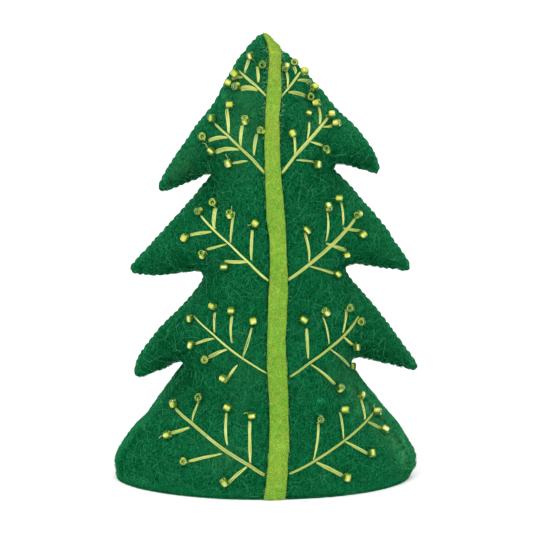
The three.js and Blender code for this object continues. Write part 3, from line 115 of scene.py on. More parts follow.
# sprigs: stem from the strip outwards; twigs (root, tip, middle, width);
# beads (x, z, turn of the hole's axis in the front view, its lean towards the front in degrees, thread over the rim,
#        shift of the painted bright band (a painted reflection of the lining) right and up, its half width in degrees,
#        size across and along the hole)
SPRIGS = {
    '1_left': dict(w=0.85,
        stem=[(0.06, 121.50), (-2.62, 124.20), (-5.83, 126.83), (-8.40, 128.58)],
        twigs=[((-6.45, 128.13), (-5.11, 132.13), None, 1.12),
               ((-2.50, 125.65), (-2.80, 130.36), (-2.47, 127.90), 1.14),
               ((-7.17, 126.72), (-10.41, 125.68), (-8.76, 126.53), 1.00),
               ((-2.62, 123.34), (-7.93, 123.11), (-5.48, 123.96), 1.64)],
        beads=[(-4.76, 133.41, 110, 10, 0, 0, 0, 30, 0.95, 0.92), (-1.29, 130.76, 0, 85, 0, 0, -0.1, 38, 1, 1), (-11.57, 125.10, 160, 0, 0, -0.1, 0.15, 45, 1, 1), (-9.11, 124.39, 200, 62, 0, 0, -0.1, 38, 1, 1), (-9.43, 128.29, -50, 0, 0, 0, 0, 48, 1, 1)]),
    '1_right': dict(w=0.73,
        stem=[(4.16, 121.11), (6.84, 124.36), (8.69, 126.43), (10.26, 128.11)],
        twigs=[((8.68, 127.54), (6.69, 130.96), (8.09, 129.48), 0.96),
               ((6.25, 124.06), (5.75, 128.80), (6.23, 126.60), 0.81),
               ((9.19, 125.83), (13.48, 124.14), (11.74, 125.36), 1.13),
               ((6.54, 122.68), (11.76, 121.04), (9.04, 122.34), 1.18)],
        beads=[(8.30, 130.72, 90, 78, 0, 0, -0.1, 38, 1, 1), (5.73, 130.05, 250, 45, 0, 0, -0.1, 38, 1, 1), (14.37, 123.74, 200, 30, 0, 0, 0, 45, 1, 1), (13.09, 121.18, -30, 80, 0, 0, -0.1, 38, 1, 1), (11.32, 128.06, -85, 35, 0, 0, 0, 60, 1, 1)]),
    '2_left': dict(w=0.98,
        stem=[(-0.47, 98.82), (-4.04, 103.04), (-7.76, 106.28), (-11.22, 109.53), (-15.57, 112.90)],
        twigs=[((-11.15, 110.24), (-11.69, 117.78), (-11.39, 114.17), 1.19),
               ((-7.60, 106.77), (-7.06, 113.17), (-7.60, 109.99), 1.21),
               ((-3.72, 104.27), (-2.91, 110.73), (-3.39, 107.48), 1.13),
               ((-11.53, 109.10), (-17.42, 107.56), (-14.71, 108.85), 1.26),
               ((-8.16, 105.64), (-15.32, 104.24), (-12.01, 105.73), 1.48),
               ((-5.59, 102.40), (-10.43, 101.45), (-7.89, 102.13), 0.88)],
        beads=[(-11.06, 119.08, 0, 0, 0, 0, -0.1, 42, 1, 1), (-6.32, 114.89, 105, 50, 0, 0, -0.1, 38, 1, 1), (-1.60, 111.99, 180, 72, 1, 0, -0.1, 38, 1, 1), (-19.36, 109.09, 0, 80, 1, 0, -0.1, 38, 1, 1), (-16.52, 105.07, -45, 10, 0, 0.05, -0.1, 30, 0.95, 0.95), (-11.46, 101.74, 110, 20, 0, 0, -0.1, 40, 1, 1), (-16.29, 114.72, 90, 8, 0, 0, 0, 25, 1, 1)]),
    '2_right': dict(w=1.19,
        stem=[(4.39, 98.68), (8.64, 104.41), (12.40, 108.41), (16.20, 112.27), (18.43, 114.69)],
        twigs=[((15.79, 112.90), (15.32, 118.07), (15.94, 115.71), 0.92),
               ((12.15, 108.93), (12.71, 113.98), (12.56, 111.37), 0.84),
               ((8.41, 104.60), (7.99, 109.90), (8.50, 107.41), 0.92),
               ((16.91, 112.18), (19.83, 112.16), (18.26, 112.07), 0.86),
               ((13.04, 108.13), (16.99, 106.49), (15.04, 107.48), 0.86),
               ((8.88, 102.84), (14.39, 101.87), (11.42, 102.68), 0.67)],
        beads=[(14.92, 119.42, 10, 20, 0, 0, 0.1, 42, 1, 1), (12.64, 116.68, -20, 0, 0, 0, 0, 34, 0.78, 0.8), (7.75, 111.05, -65, 0, 0, 0, 0, 40, 0.95, 0.95), (21.01, 113.22, 5, 25, 0, 0, 0, 45, 1, 1), (17.89, 105.79, 110, 72, 0, 0, -0.1, 38, 1, 1), (15.32, 101.40, 90, 0, 0, 0.1, 0, 26, 1, 1), (19.50, 115.89, 0, 0, 0, 0, 0, 48, 1, 1)]),
    '3_left': dict(w=0.80,
        stem=[(0.83, 66.34), (-5.70, 72.39), (-10.85, 77.38), (-15.59, 81.30), (-19.89, 85.22)],
        twigs=[((-15.53, 81.70), (-15.11, 87.99), (-15.71, 84.49), 1.48),
               ((-10.73, 77.90), (-9.66, 87.20), (-10.42, 81.96), 0.92),
               ((-4.52, 72.79), (-4.15, 82.09), (-4.55, 77.06), 1.10),
               ((-16.52, 80.69), (-23.28, 78.76), (-20.12, 79.97), 1.13),
               ((-11.88, 77.32), (-18.19, 74.83), (-14.95, 76.28), 0.86),
               ((-5.50, 72.26), (-12.80, 71.89), (-9.31, 72.13), 1.20)],
        beads=[(-16.07, 89.49, 180, 80, 1, 0, -0.1, 38, 1, 1), (-11.02, 86.68, 100, 50, 0, 0, -0.1, 38, 1, 1), (-3.37, 84.30, -40, 0, 0, 0, 0, 45, 1, 1), (-24.71, 78.30, 60, 20, 0, 0, -0.1, 48, 1, 1), (-19.37, 73.71, 110, 55, 1, 0, -0.1, 38, 1, 1), (-12.80, 70.64, 0, 0, 0, 0.1, 0, 26, 1, 1), (-20.43, 86.46, 200, 62, 0, 0, -0.1, 38, 1, 1)]),
    '3_right': dict(w=1.25,
        stem=[(6.22, 66.63), (12.94, 71.47), (19.37, 76.75), (24.31, 81.49), (26.87, 84.40)],
        twigs=[((22.95, 82.69), (22.23, 89.32), (22.77, 86.23), 0.68),
               ((17.83, 78.17), (18.14, 86.90), (18.45, 82.48), 0.70),
               ((12.73, 72.07), (11.36, 81.19), (12.48, 76.78), 0.97),
               ((22.94, 81.70), (28.61, 80.31), (25.62, 81.05), 0.95),
               ((17.88, 77.36), (24.39, 74.22), (21.27, 76.12), 1.20),
               ((12.93, 70.73), (20.82, 67.28), (16.85, 69.28), 0.91)],
        beads=[(21.72, 90.78, -5, 0, 0, 0, 0.05, 38, 1, 1), (18.52, 88.68, -70, 40, 0, 0, -0.1, 38, 1, 1), (12.12, 82.03, 135, 15, 0, 0, 0, 36, 0.74, 1.3), (29.11, 79.54, 40, 0, 0, 0, 0, 40, 1, 1), (24.26, 73.43, 10, 0, 0, 0, 0, 46, 0.8, 0.85), (21.59, 67.38, -45, 0, 0, 0, 0, 46, 0.76, 0.86), (27.57, 85.48, 210, 58, 0, 0, -0.1, 38, 1, 1)]),
    '4_left': dict(w=0.73,
        stem=[(0.33, 38.38), (-6.71, 42.84), (-11.47, 46.09), (-15.83, 49.37), (-22.18, 54.01)],
        twigs=[((-15.60, 50.16), (-15.44, 56.18), (-15.69, 53.03), 0.71),
               ((-10.32, 47.44), (-10.22, 55.68), (-10.70, 51.39), 0.85),
               ((-7.14, 43.29), (-4.31, 52.46), (-5.81, 47.46), 0.83),
               ((-15.76, 48.26), (-21.82, 45.75), (-18.71, 47.38), 0.93),
               ((-11.84, 45.41), (-17.72, 42.17), (-14.74, 44.10), 1.14),
               ((-8.72, 40.92), (-11.84, 36.20), (-10.45, 38.62), 0.89)],
        beads=[(-16.27, 58.11, -30, 25, 0, -0.25, -0.1, 45, 1, 1), (-10.73, 57.33, 0, 0, 0, 0, 0, 32, 1, 1), (-4.02, 54.71, 10, 0, 0, 0.1, -0.15, 48, 1, 1), (-22.93, 45.75, 80, 20, 0, -0.2, -0.15, 42, 0.9, 0.95), (-18.76, 41.85, 0, 85, 1, 0, -0.1, 38, 1, 1), (-12.88, 36.92, -30, 30, 0, 0, -0.1, 38, 1, 1), (-23.25, 53.43, 90, 20, 0, 0, 0, 36, 0.86, 1)]),
    '4_right': dict(w=0.94,
        stem=[(6.88, 37.33), (12.73, 41.29), (18.90, 45.25), (23.55, 48.68), (26.66, 52.08), (28.05, 53.78)],
        twigs=[((23.01, 49.44), (23.94, 56.50), (23.76, 53.23), 0.69),
               ((18.86, 46.59), (16.80, 55.04), (18.17, 51.10), 0.61),
               ((12.55, 42.76), (11.99, 52.12), (12.24, 47.60), 1.04),
               ((23.38, 48.05), (26.73, 44.55), (24.99, 46.43), 0.91),
               ((19.04, 44.97), (25.55, 36.82), (22.54, 41.67), 0.76),
               ((13.37, 40.86), (20.85, 33.34), (17.05, 37.88), 0.87)],
        beads=[(25.39, 56.94, 180, 80, 0, 0, -0.1, 38, 1, 1), (17.92, 56.68, 135, 40, 0, 0, -0.1, 38, 1, 1), (11.28, 54.92, -30, 0, 0, 0, -0.05, 36, 1, 1), (27.38, 44.55, 90, 0, 0, 0, 0, 25, 0.95, 0.95), (26.30, 36.64, 90, 0, 0, 0, 0, 28, 0.95, 1), (22.42, 32.68, 45, 50, 0, 0, -0.1, 38, 1, 1), (28.86, 52.41, 180, 75, 0, 0, -0.1, 38, 1, 1)]),
    '5_left': dict(w=1.15,
        stem=[(-0.31, 7.35), (-5.51, 10.69), (-12.71, 14.98), (-22.56, 22.09), (-28.00, 25.47)],
        twigs=[((-22.50, 22.59), (-20.42, 28.62), (-21.67, 25.59), 0.61),
               ((-11.85, 16.49), (-12.11, 26.21), (-12.30, 21.33), 0.99),
               ((-4.91, 11.23), (-5.00, 24.10), (-5.06, 17.09), 1.20),
               ((-23.32, 20.67), (-29.22, 17.86), (-26.11, 19.52), 1.20),
               ((-13.53, 13.83), (-23.91, 10.53), (-18.51, 12.49), 0.96),
               ((-5.85, 10.20), (-12.00, 4.38), (-9.09, 7.53), 1.13)],
        beads=[(-20.48, 30.19, 180, 75, 1, 0, -0.1, 38, 1, 1), (-11.84, 28.08, -30, 5, 0, 0, 0.05, 38, 1, 1), (-4.50, 25.94, 5, 0, 0, 0, -0.15, 36, 1, 1), (-30.17, 17.92, 20, 30, 0, 0, -0.1, 38, 1, 1), (-25.31, 10.80, 0, 85, 1, 0, -0.1, 38, 1, 1), (-12.82, 5.60, 120, 30, 0, 0, -0.1, 38, 1, 1), (-28.41, 27.06, 100, 20, 0, 0.15, 0.1, 36, 1, 1)]),
    '5_right': dict(w=0.89,
        stem=[(6.56, 7.74), (14.25, 11.31), (23.20, 16.53), (30.23, 21.20), (32.83, 23.12)],
        twigs=[((29.97, 21.79), (28.48, 27.87), (29.44, 24.79), 0.62),
               ((23.33, 17.28), (22.13, 25.32), (22.96, 21.06), 0.76),
               ((14.25, 11.82), (15.63, 23.29), (15.30, 17.31), 0.89),
               ((30.87, 21.02), (35.91, 17.61), (33.29, 19.36), 0.88),
               ((23.72, 16.52), (30.98, 11.63), (27.15, 14.46), 0.98),
               ((15.11, 11.06), (23.35, 6.00), (19.25, 8.74), 1.33)],
        beads=[(28.91, 29.01, 250, 40, 0, 0, -0.1, 38, 1, 1), (23.92, 26.17, 0, 10, 0, 0, 0.3, 48, 1, 1), (16.36, 23.99, 0, 85, 1, 0, -0.1, 38, 1, 1), (36.25, 18.49, -30, 0, 0, 0, 0, 40, 1, 1), (32.14, 12.34, -80, 15, 0, 0.1, 0, 30, 1, 1), (24.52, 5.99, 80, 10, 0, 0, 0, 46, 1, 1.12), (34.03, 23.55, 0, 20, 0, 0.1, 0.1, 40, 1, 1)]),
}


# ------------------------------------------------------------------ small tools
def smooth01(x):
    x = np.clip(x, 0, 1)
    return x * x * (3 - 2 * x)


def unit(v):
    v = np.asarray(v, float)
    n = np.linalg.norm(v, axis=-1, keepdims=True)
    return v / np.maximum(n, 1e-12)


def make(name, verts, faces, mat, smooth=True, replaces=()):
    """Mesh object from millimetre points and triangle or quad index arrays."""
    groups = faces if isinstance(faces, (list, tuple)) else [faces]
    groups = [np.asarray(g, int) for g in groups if len(g)]
    verts = (np.asarray(verts, float) + SHIFT) * MM
    me = bpy.data.meshes.new(name)
    me.vertices.add(len(verts))
    me.vertices.foreach_set("co", verts.ravel())
    loops = np.concatenate([g.ravel() for g in groups])
    sizes = np.concatenate([np.full(len(g), g.shape[1]) for g in groups])
    me.loops.add(len(loops))
    me.loops.foreach_set("vertex_index", loops)
    me.polygons.add(len(sizes))
    me.polygons.foreach_set("loop_start", np.concatenate([[0], np.cumsum(sizes)[:-1]]))
    me.update(calc_edges=True)
    me.validate()
    me.polygons.foreach_set("use_smooth", np.full(len(me.polygons), smooth))
    me.update()
    ob = bpy.data.objects.new(name, me)
    bpy.context.scene.collection.objects.link(ob)
    me.materials.append(mat)
    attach(ob, "root")
    if replaces:
        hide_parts(*replaces)
    return ob


def tone(ob, values, name="tone"):
    """One number per vertex, read by the materials."""
    at = ob.data.attributes.new(name, "FLOAT", "POINT")
    at.data.foreach_set("value", np.asarray(values, np.float32))


def tubes(P, Nrm, R, sides=6, flat=1.0, cap=True):
    """Closed tubes along many polylines. P, Nrm: (n, m, 3); R: (n, m). flat squeezes them along the normal."""
    P, Nrm, R = np.asarray(P, float), np.asarray(Nrm, float), np.asarray(R, float)
    n, m, _ = P.shape
    T = np.empty_like(P)
    T[:, 1:-1] = P[:, 2:] - P[:, :-2]
    T[:, 0] = P[:, 1] - P[:, 0]
    T[:, -1] = P[:, -1] - P[:, -2]
    T = unit(T)
    N = unit(Nrm - (Nrm * T).sum(-1, keepdims=True) * T)
    S = np.cross(T, N)
    a = np.arange(sides) / sides * 2 * math.pi
    ring = (np.cos(a)[None, None, :, None] * S[:, :, None, :] + flat * np.sin(a)[None, None, :, None] * N[:, :, None, :])
    V = (P[:, :, None, :] + ring * R[:, :, None, None]).reshape(-1, 3)
    base = np.arange(n)[:, None, None] * (m * sides) + np.arange(m - 1)[None, :, None] * sides
    k = np.arange(sides)[None, None, :]
    k2 = (k + 1) % sides
    q = np.stack(np.broadcast_arrays(base + k, base + k2, base + sides + k2, base + sides + k), -1).reshape(-1, 4)
    out = [q]
    if cap:
        ar = np.arange(sides)
        fan = np.stack([np.zeros(sides - 2, int), ar[2:], ar[1:-1]], 1)
        st = (np.arange(n) * m * sides)[:, None, None] + fan[None]
        en = (np.arange(n) * m * sides + (m - 1) * sides)[:, None, None] + fan[None][..., ::-1]
        out.append(np.concatenate([st.reshape(-1, 3), en.reshape(-1, 3)]))
    return V, out


def join_parts(parts):
    """[(V, [face groups])] -> one (V, [quads, tris])."""
    vs, qs, ts, o = [], [], [], 0
    for V, groups in parts:
        vs.append(V)
        for g in groups:
            (qs if g.shape[1] == 4 else ts).append(g + o)
        o += len(V)
    res = []
    if qs:
        res.append(np.concatenate(qs))
    if ts:
        res.append(np.concatenate(ts))
    return np.concatenate(vs), res


def poly_len(p):
    return np.concatenate([[0], np.cumsum(np.linalg.norm(np.diff(p, axis=0), axis=1))])


def along(p, s):
    a = poly_len(p)
    return np.stack([np.interp(s, a, p[:, k]) for k in range(p.shape[1])], -1)


def seg_dist(P, poly, closed=True):
    """Distance from points to a polyline, vectorised."""
    A = poly
    B = np.roll(poly, -1, 0) if closed else None
    if not closed:
        A, B = poly[:-1], poly[1:]
    best = np.full(len(P), 1e9)
    for a, b in zip(A, B):
        ab, ap = b - a, P - a
        t = np.clip((ap @ ab) / max(ab @ ab, 1e-12), 0, 1)
        best = np.minimum(best, np.hypot(*(ap - t[:, None] * ab).T))
    return best


def arc_pos(P, poly):
    """Distance to an open polyline and the arc length of the nearest point on it."""
    A, B = poly[:-1], poly[1:]
    L = poly_len(poly)
    best = np.full(len(P), 1e9)
    pos = np.zeros(len(P))
    for k, (a, b) in enumerate(zip(A, B)):
        ab, ap = b - a, P - a
        t = np.clip((ap @ ab) / max(ab @ ab, 1e-12), 0, 1)
        d = np.hypot(*(ap - t[:, None] * ab).T)
        m = d < best
        best[m] = d[m]
        pos[m] = L[k] + t[m] * (L[k + 1] - L[k])
    return best, pos


def inside(P, poly):
    c = np.zeros(len(P), bool)
    for a, b in zip(poly, np.roll(poly, -1, 0)):
        cond = (a[1] > P[:, 1]) != (b[1] > P[:, 1])
        with np.errstate(divide="ignore", invalid="ignore"):
            x = (b[0] - a[0]) * (P[:, 1] - a[1]) / (b[1] - a[1]) + a[0]
        c ^= cond & (P[:, 0] < x)
    return c


def offset_loop(poly, d):
    """Clockwise loop moved outwards by d, with folded-over points dropped."""
    e1 = poly - np.roll(poly, 1, 0)
    e2 = np.roll(poly, -1, 0) - poly
    n1 = unit(np.stack([-e1[:, 1], e1[:, 0]], 1))
    n2 = unit(np.stack([-e2[:, 1], e2[:, 0]], 1))
    n = unit(n1 + n2)
    k = 1 / np.maximum(0.5, (n * n1).sum(1))
    q = poly + n * (d * k)[:, None]
    return q[seg_dist(q, poly) > abs(d) * 0.93]


# ------------------------------------------------------------------ the felt outline
FOOT_I = [i for i in range(len(OUTLINE)) if abs(OUTLINE[i, 1] - FOOT_Z) < 1e-6]
right = OUTLINE[: FOOT_I[0] + 1]
left = OUTLINE[FOOT_I[1]:]


def spline(p, step):
    """Even resampling of an open polyline by arc length, lightly smoothed, ends kept."""
    L = poly_len(p)[-1]
    q = along(p, np.linspace(0, L, int(L / 0.35) + 1))
    for _ in range(6):
        q[1:-1] = 0.25 * q[:-2] + 0.5 * q[1:-1] + 0.25 * q[2:]
    L = poly_len(q)[-1]
    return along(q, np.linspace(0, L, max(2, int(round(L / step))) + 1))


EDGE_STEP = 0.42
INSET = 0.22
LOBE = 0.38
side_path = np.concatenate([left, right[0:]])            # from the left foot corner over the tip to the right foot corner
side_path = spline(side_path, EDGE_STEP)
side_path[0], side_path[-1] = (FOOT_L, FOOT_Z), (FOOT_R, FOOT_Z)
S_SIDE = poly_len(side_path)
# lobes pinched by the overcast stitches, upper tiers only
tang = unit(np.gradient(side_path, axis=0))
outw = np.stack([-tang[:, 1], tang[:, 0]], 1)            # outwards of the clockwise path
under_strip = (side_path[:, 1] > 133.6) & (side_path[:, 0] > -1.5) & (side_path[:, 0] < 4.6)
upper = smooth01((side_path[:, 1] - 33) / 3.5) * np.where(under_strip, 0, 1)


def beat(s):
    """Arc length bent a little so that the hand-sewn spacing varies; stitches sit at whole multiples of PITCH."""
    return s + 0.42 * np.sin(s * 0.37) + 0.25 * np.sin(s * 0.83 + 1.0) + 0.12 * np.sin(s * 1.9 + 2.0)


def lobe_of(s):
    """Height of the small lobes between stitches, about -0.6 to 0.4."""
    s = beat(s)
    k = np.floor(s / PITCH)
    size = 0.85 + 0.3 * np.abs(np.sin(k * 12.9898) * 43758.5453 % 1)
    return (np.abs(np.sin(math.pi * s / PITCH)) ** 0.75 - 0.6) * size


side_felt = side_path - outw * ((INSET - LOBE * lobe_of(S_SIDE)) * upper)[:, None]
side_felt[0], side_felt[-1] = (FOOT_L, FOOT_Z), (FOOT_R, FOOT_Z)
foot_n = 150
fx = XC - XA * np.cos(np.linspace(0, math.pi, foot_n + 1))
foot_line = np.stack([fx[::-1][1:-1], np.full(foot_n - 1, FOOT_Z)], 1)   # right to left
LOOP = np.concatenate([side_felt, foot_line])
n_side, n_loop = len(side_felt), len(LOOP)


# ------------------------------------------------------------------ fine mesh of the outline, graded towards the edge
def fine_mesh(loop, spacing, rings):
    pts = [loop]
    smooth_loop = loop
    for d in rings:
        q = offset_loop(smooth_loop, -d)
        q = q[inside(q, loop)]
        q = q[q[:, 1] > FOOT_Z + 0.4]
        # even the ring out a little where the outline turns inwards
        keep, lastp = [], None
        for p in q:
            if lastp is None or np.hypot(*(p - lastp)) > EDGE_STEP * 0.6:
                keep.append(p)
                lastp = p
        pts.append(np.array(keep))
    x = np.arange(-52, 52, spacing)
    z = np.arange(FOOT_Z + spacing * 0.45, 142, spacing * 0.866)
    X, Z = np.meshgrid(x, z)
    X[1::2] += spacing / 2
    g = np.stack([X.ravel(), Z.ravel()], 1)
    g = g[inside(g, loop)]
    side_open = side_felt
    g = g[seg_dist(g, side_open, closed=False) > rings[-1] + spacing * 0.55]
    rng = np.random.default_rng(3)
    g = g + rng.uniform(-0.06, 0.06, g.shape) * spacing
    pts.append(g)
    P = np.concatenate(pts)
    n = len(loop)
    edges = [(i, (i + 1) % n) for i in range(n)]
    out = delaunay_2d_cdt([Vector(p) for p in P], edges, [list(range(n))], 1, 1e-5)
    V = np.array([[v.x, v.y] for v in out[0]])
    F = []
    for f in out[2]:
        for k in range(1, len(f) - 1):
            F.append((f[0], f[k], f[k + 1]))
    F = np.array(F)
    a, b, c = V[F[:, 0]], V[F[:, 1]], V[F[:, 2]]
    area = ((b[:, 0] - a[:, 0]) * (c[:, 1] - a[:, 1]) - (b[:, 1] - a[:, 1]) * (c[:, 0] - a[:, 0])) / 2
    F[area < 0] = F[area < 0][:, [0, 2, 1]]
    return V, F, np.abs(area)


RINGS = (0.12, 0.36, 0.68, 1.05, 1.5, 2.05)
V2, F2, AREA = fine_mesh(LOOP, 0.88, RINGS)
print("panel mesh", len(V2), len(F2))


def membrane(V, F, area, n_loop, load):
    """Membrane under even pressure by conjugate gradients: zero along the seam, elliptic at the foot."""
    n = len(V)
    w = np.zeros(n)
    bl = V[:n_loop]
    foot = np.abs(bl[:, 1] - FOOT_Z) < 1e-4
    w[:n_loop][foot] = np.clip(1 - ((bl[foot, 0] - XC) / XA) ** 2, 0, None) ** (2 * OVAL)
    I, J, C = [], [], []
    for k in range(3):
        i, j, l = F[:, k], F[:, (k + 1) % 3], F[:, (k + 2) % 3]
        u, v = V[i] - V[l], V[j] - V[l]
        cot = np.clip((u * v).sum(1) / (2 * area), 0.01, 50) / 2
        I.append(i), J.append(j), C.append(cot)
    I, J, C = np.concatenate(I), np.concatenate(J), np.concatenate(C)
    diag = np.bincount(I, C, n) + np.bincount(J, C, n)
    lump = np.bincount(F.ravel(), np.repeat(area / 3, 3), n)
    free = np.ones(n, bool)
    free[:n_loop] = False

    def A(x):
        return diag * x - np.bincount(I, C * x[J], n) - np.bincount(J, C * x[I], n)

    b = load * lump
    r = np.where(free, b - A(w), 0)
    z = r / diag
    p = z.copy()
    rz = r @ z
    for _ in range(900):
        Ap = np.where(free, A(p), 0)
        al = rz / (p @ Ap)
        w += al * p
        r -= al * Ap
        z = np.where(free, r / diag, 0)
        rz2 = r @ z
        if rz2 < 1e-16:
            break
        p = z + rz2 / rz * p
        rz = rz2
    return w


W = membrane(V2, F2, AREA, n_loop, FILL / XA ** 2)
H0 = BULGE * np.sqrt(np.clip(W, 0, None))
D_EDGE = seg_dist(V2, side_felt, closed=False)
ON_LOOP = np.arange(len(V2)) < n_loop
FOOT_V = ON_LOOP & (np.abs(V2[:, 1] - FOOT_Z) < 1e-4)


def value_noise(seed, P, scale, octaves=3):
    """Smooth seeded noise in the plane, about -1 to 1."""
    rng = np.random.default_rng(seed)
    out = np.zeros(len(P))
    amp, tot = 1.0, 0
    for _ in range(octaves):
        g = rng.uniform(-1, 1, (64, 64))
        q = P / scale + 17.3
        i = np.floor(q).astype(int)
        f = q - i
        f = f * f * (3 - 2 * f)
        a = g[i[:, 0] % 64, i[:, 1] % 64]
        b = g[(i[:, 0] + 1) % 64, i[:, 1] % 64]
        c = g[i[:, 0] % 64, (i[:, 1] + 1) % 64]
        d = g[(i[:, 0] + 1) % 64, (i[:, 1] + 1) % 64]
        out += amp * ((a * (1 - f[:, 0]) + b * f[:, 0]) * (1 - f[:, 1]) + (c * (1 - f[:, 0]) + d * f[:, 0]) * f[:, 1])
        tot += amp
        amp *= 0.5
        scale *= 0.5
    return out / tot * 1.6


def strip_at(z):
    """Left and right x of the trunk strip at height z."""
    return np.interp(z, STRIP[:, 0], STRIP[:, 1]), np.interp(z, STRIP[:, 0], STRIP[:, 2])


# pull of the stitches on the soft body
def dents(P):
    d = np.zeros(len(P))

    def dimple(c, r, depth):
        nonlocal d
        q = ((P - c) ** 2).sum(1) / (r * r)
        d += depth * np.exp(-q)

    for s in SPRIGS.values():
        stem = np.array(s["stem"], float)
        dimple(stem[0], 2.0, 0.35)
        dimple(stem[-1], 2.2, 0.45)
        for t in s["twigs"]:
            dimple(np.array(t[0]), 1.6, 0.15)
            dimple(np.array(t[1]), 1.9, 0.3)
        for b in s["beads"]:
            dimple(np.array(b[:2]), 2.4, 0.35)
    l, r = strip_at(P[:, 1])
    for e in (l, r):
        d += 0.32 * np.exp(-((P[:, 0] - e) / 1.3) ** 2)
    return d


def edge_half(P):
    """Half thickness of the sewn edge: full on the upper tiers, closed up round the lowest."""
    return 0.12 + (EDGE - 0.12) * smooth01((P[:, 1] - 31) / 5)


fade = smooth01(D_EDGE / 4.0)
soft = fade * np.where(H0 > 0, 1, 0)
LUMPS = value_noise(11, V2, 17.0, 3) * 0.5 + value_noise(12, V2, 6.0, 2) * 0.13
LUMPS_B = value_noise(21, V2, 18.0, 3) * 0.55 + value_noise(22, V2, 6.0, 2) * 0.13
MAT_F = value_noise(13, V2, 1.9, 2) * 0.055
MAT_B = value_noise(23, V2, 1.9, 2) * 0.055
tuck = 0.45 * np.exp(-((V2[:, 1] - FOOT_Z) / 0.9) ** 2) * np.clip(H0 / 6, 0, 1)
CARRY = edge_half(V2)
NEAR = D_EDGE < 3.2
POS = np.zeros(len(V2))
DIN = np.full(len(V2), 9.0)
DIN[NEAR], POS[NEAR] = arc_pos(V2[NEAR], side_path)
UP_V = smooth01((V2[:, 1] - 33) / 3.5) * np.where((V2[:, 1] > 133.0) & (V2[:, 0] > -1.5) & (V2[:, 0] < 4.8), 0, 1)


def rope(lean):
    """Puffed lobes between the stitches and the pull where each stitch goes in."""
    s = POS + lean * SLANT * np.clip(DIN, 0, 2) / 1.45
    lobe = lobe_of(s)
    pinch = np.abs(np.cos(math.pi * beat(s) / PITCH)) ** 6
    return UP_V * (0.38 * lobe * np.exp(-((DIN - 0.55) / 0.8) ** 2) - 0.34 * pinch * np.exp(-((DIN - 1.5) / 0.42) ** 2) - 0.08 * np.exp(-((DIN - 1.75) / 0.6) ** 2))


LOW_V = smooth01((33 - V2[:, 1]) / 2) * smooth01((V2[:, 1] - 1.5) / 1.5)
groove = LOW_V * (0.42 * np.exp(-((DIN - 1.95) / 0.42) ** 2) + 0.22 * np.exp(-((DIN - 1.95) / 0.6) ** 2) * np.cos(2 * math.pi * POS / 2.2))
Y_FRONT = CARRY + np.maximum(H0 + LUMPS * soft + MAT_F * fade - dents(V2) * fade - tuck - groove * smooth01(D_EDGE / 0.5), 0) + rope(1)
Y_BACK = CARRY + np.maximum(H0 + LUMPS_B * soft + MAT_B * fade - tuck, 0) + rope(-1)
Y_FRONT, Y_BACK = np.maximum(Y_FRONT, 0.12), np.maximum(Y_BACK, 0.12)


def shade(front):
    """Painted shade: dark beside the strip's edges, in the stitch pulls and along the low seam's groove."""
    s = POS + (1 if front else -1) * SLANT * np.clip(DIN, 0, 2) / 1.45
    out = 0.5 * UP_V * np.abs(np.cos(math.pi * beat(s) / PITCH)) ** 8 * np.exp(-((DIN - 0.8) / 0.9) ** 2)
    if front:
        out = np.maximum(out, 0.9 * LOW_V * np.exp(-((DIN - 2.0) / 0.48) ** 2) * (0.6 + 0.4 * np.cos(2 * math.pi * POS / 2.2)))
        l, r = strip_at(V2[:, 1])
        gap = np.minimum(np.abs(V2[:, 0] - l), np.abs(V2[:, 0] - r))
        out = np.maximum(out, 0.75 * np.exp(-(gap / 0.45) ** 2))
    return out


SHADE_F, SHADE_B = shade(True), shade(False)
# painted light: the edges that face up or sideways are painted paler than the undersides of the tiers, more on the
# lowest tier, and so is a band along the foot, most on the left
UPWARD = np.interp(POS, S_SIDE, smooth01((outw[:, 1] + 0.35) / 0.5))
RIM_LIGHT = UPWARD * np.exp(-(DIN / 1.0) ** 2) * np.where(V2[:, 1] > FOOT_Z + 0.8, 1, 0)
RIM_LIGHT *= 1 + 0.55 * LOW_V
RIM_LIGHT = np.maximum(RIM_LIGHT, (0.6 + 0.34 * smooth01((-V2[:, 0] - 18) / 16) - 0.16 * smooth01((V2[:, 0] - 8) / 16)) * np.exp(-((V2[:, 1] - FOOT_Z) / 1.7) ** 2))


def along_edge(weight, sigma):
    """Field that falls off from the outline like exp(-(d / sigma)^2), weighted along it and smooth round the points."""
    out = np.zeros(len(V2))
    q, g = side_path[::2], weight[::2] * 2 * EDGE_STEP / (sigma * math.sqrt(math.pi))
    for k in np.nonzero(g > 1e-4)[0]:
        out += g[k] * np.exp(-((V2 - q[k]) ** 2).sum(1) / sigma ** 2)
    return np.clip(out, 0, 1)


# painted shade on the undersides of the tiers, deepest near the notches, and painted light on the flanks that face up
# and on the lower right side
ez, ex = side_path[:, 1], side_path[:, 0]
ax = np.abs(ex + 1.0)
turn = [k for k in range(20, len(ax) - 20) if ax[k] == ax[k - 20:k + 21].min() and 33 < ez[k] < 120]
inner = np.min([np.hypot(ex - ex[k], ez - ez[k]) for k in turn], axis=0)
UNDER_SHADE = along_edge(smooth01((-outw[:, 1] - 0.05) / 0.45) * smooth01((ez - 33) / 4) * (0.5 + 1.15 * np.exp(-(inner / 8.5) ** 2)), 6.4)
# two more spots of painted shade on the front, low on the left and on the right
UNDER_SHADE_F = np.clip(UNDER_SHADE + 0.24 * np.exp(-(((V2 - (-27.0, 35.0)) / (9.0, 16.0)) ** 2).sum(1)) + 0.35 * np.exp(-(((V2 - (34.0, 50.0)) / (9.0, 7.0)) ** 2).sum(1)), 0, 1)
flank = smooth01((outw[:, 1] + 0.1) / 0.4)
PALE_LIGHT_F = 0.13 * along_edge(flank * (ex > 6) * (ez > 36), 4.5) + 1.1 * along_edge(smooth01((ex - 18) / 8) * smooth01((36 - ez) / 5) * smooth01((ez - 5) / 6), 4.6)
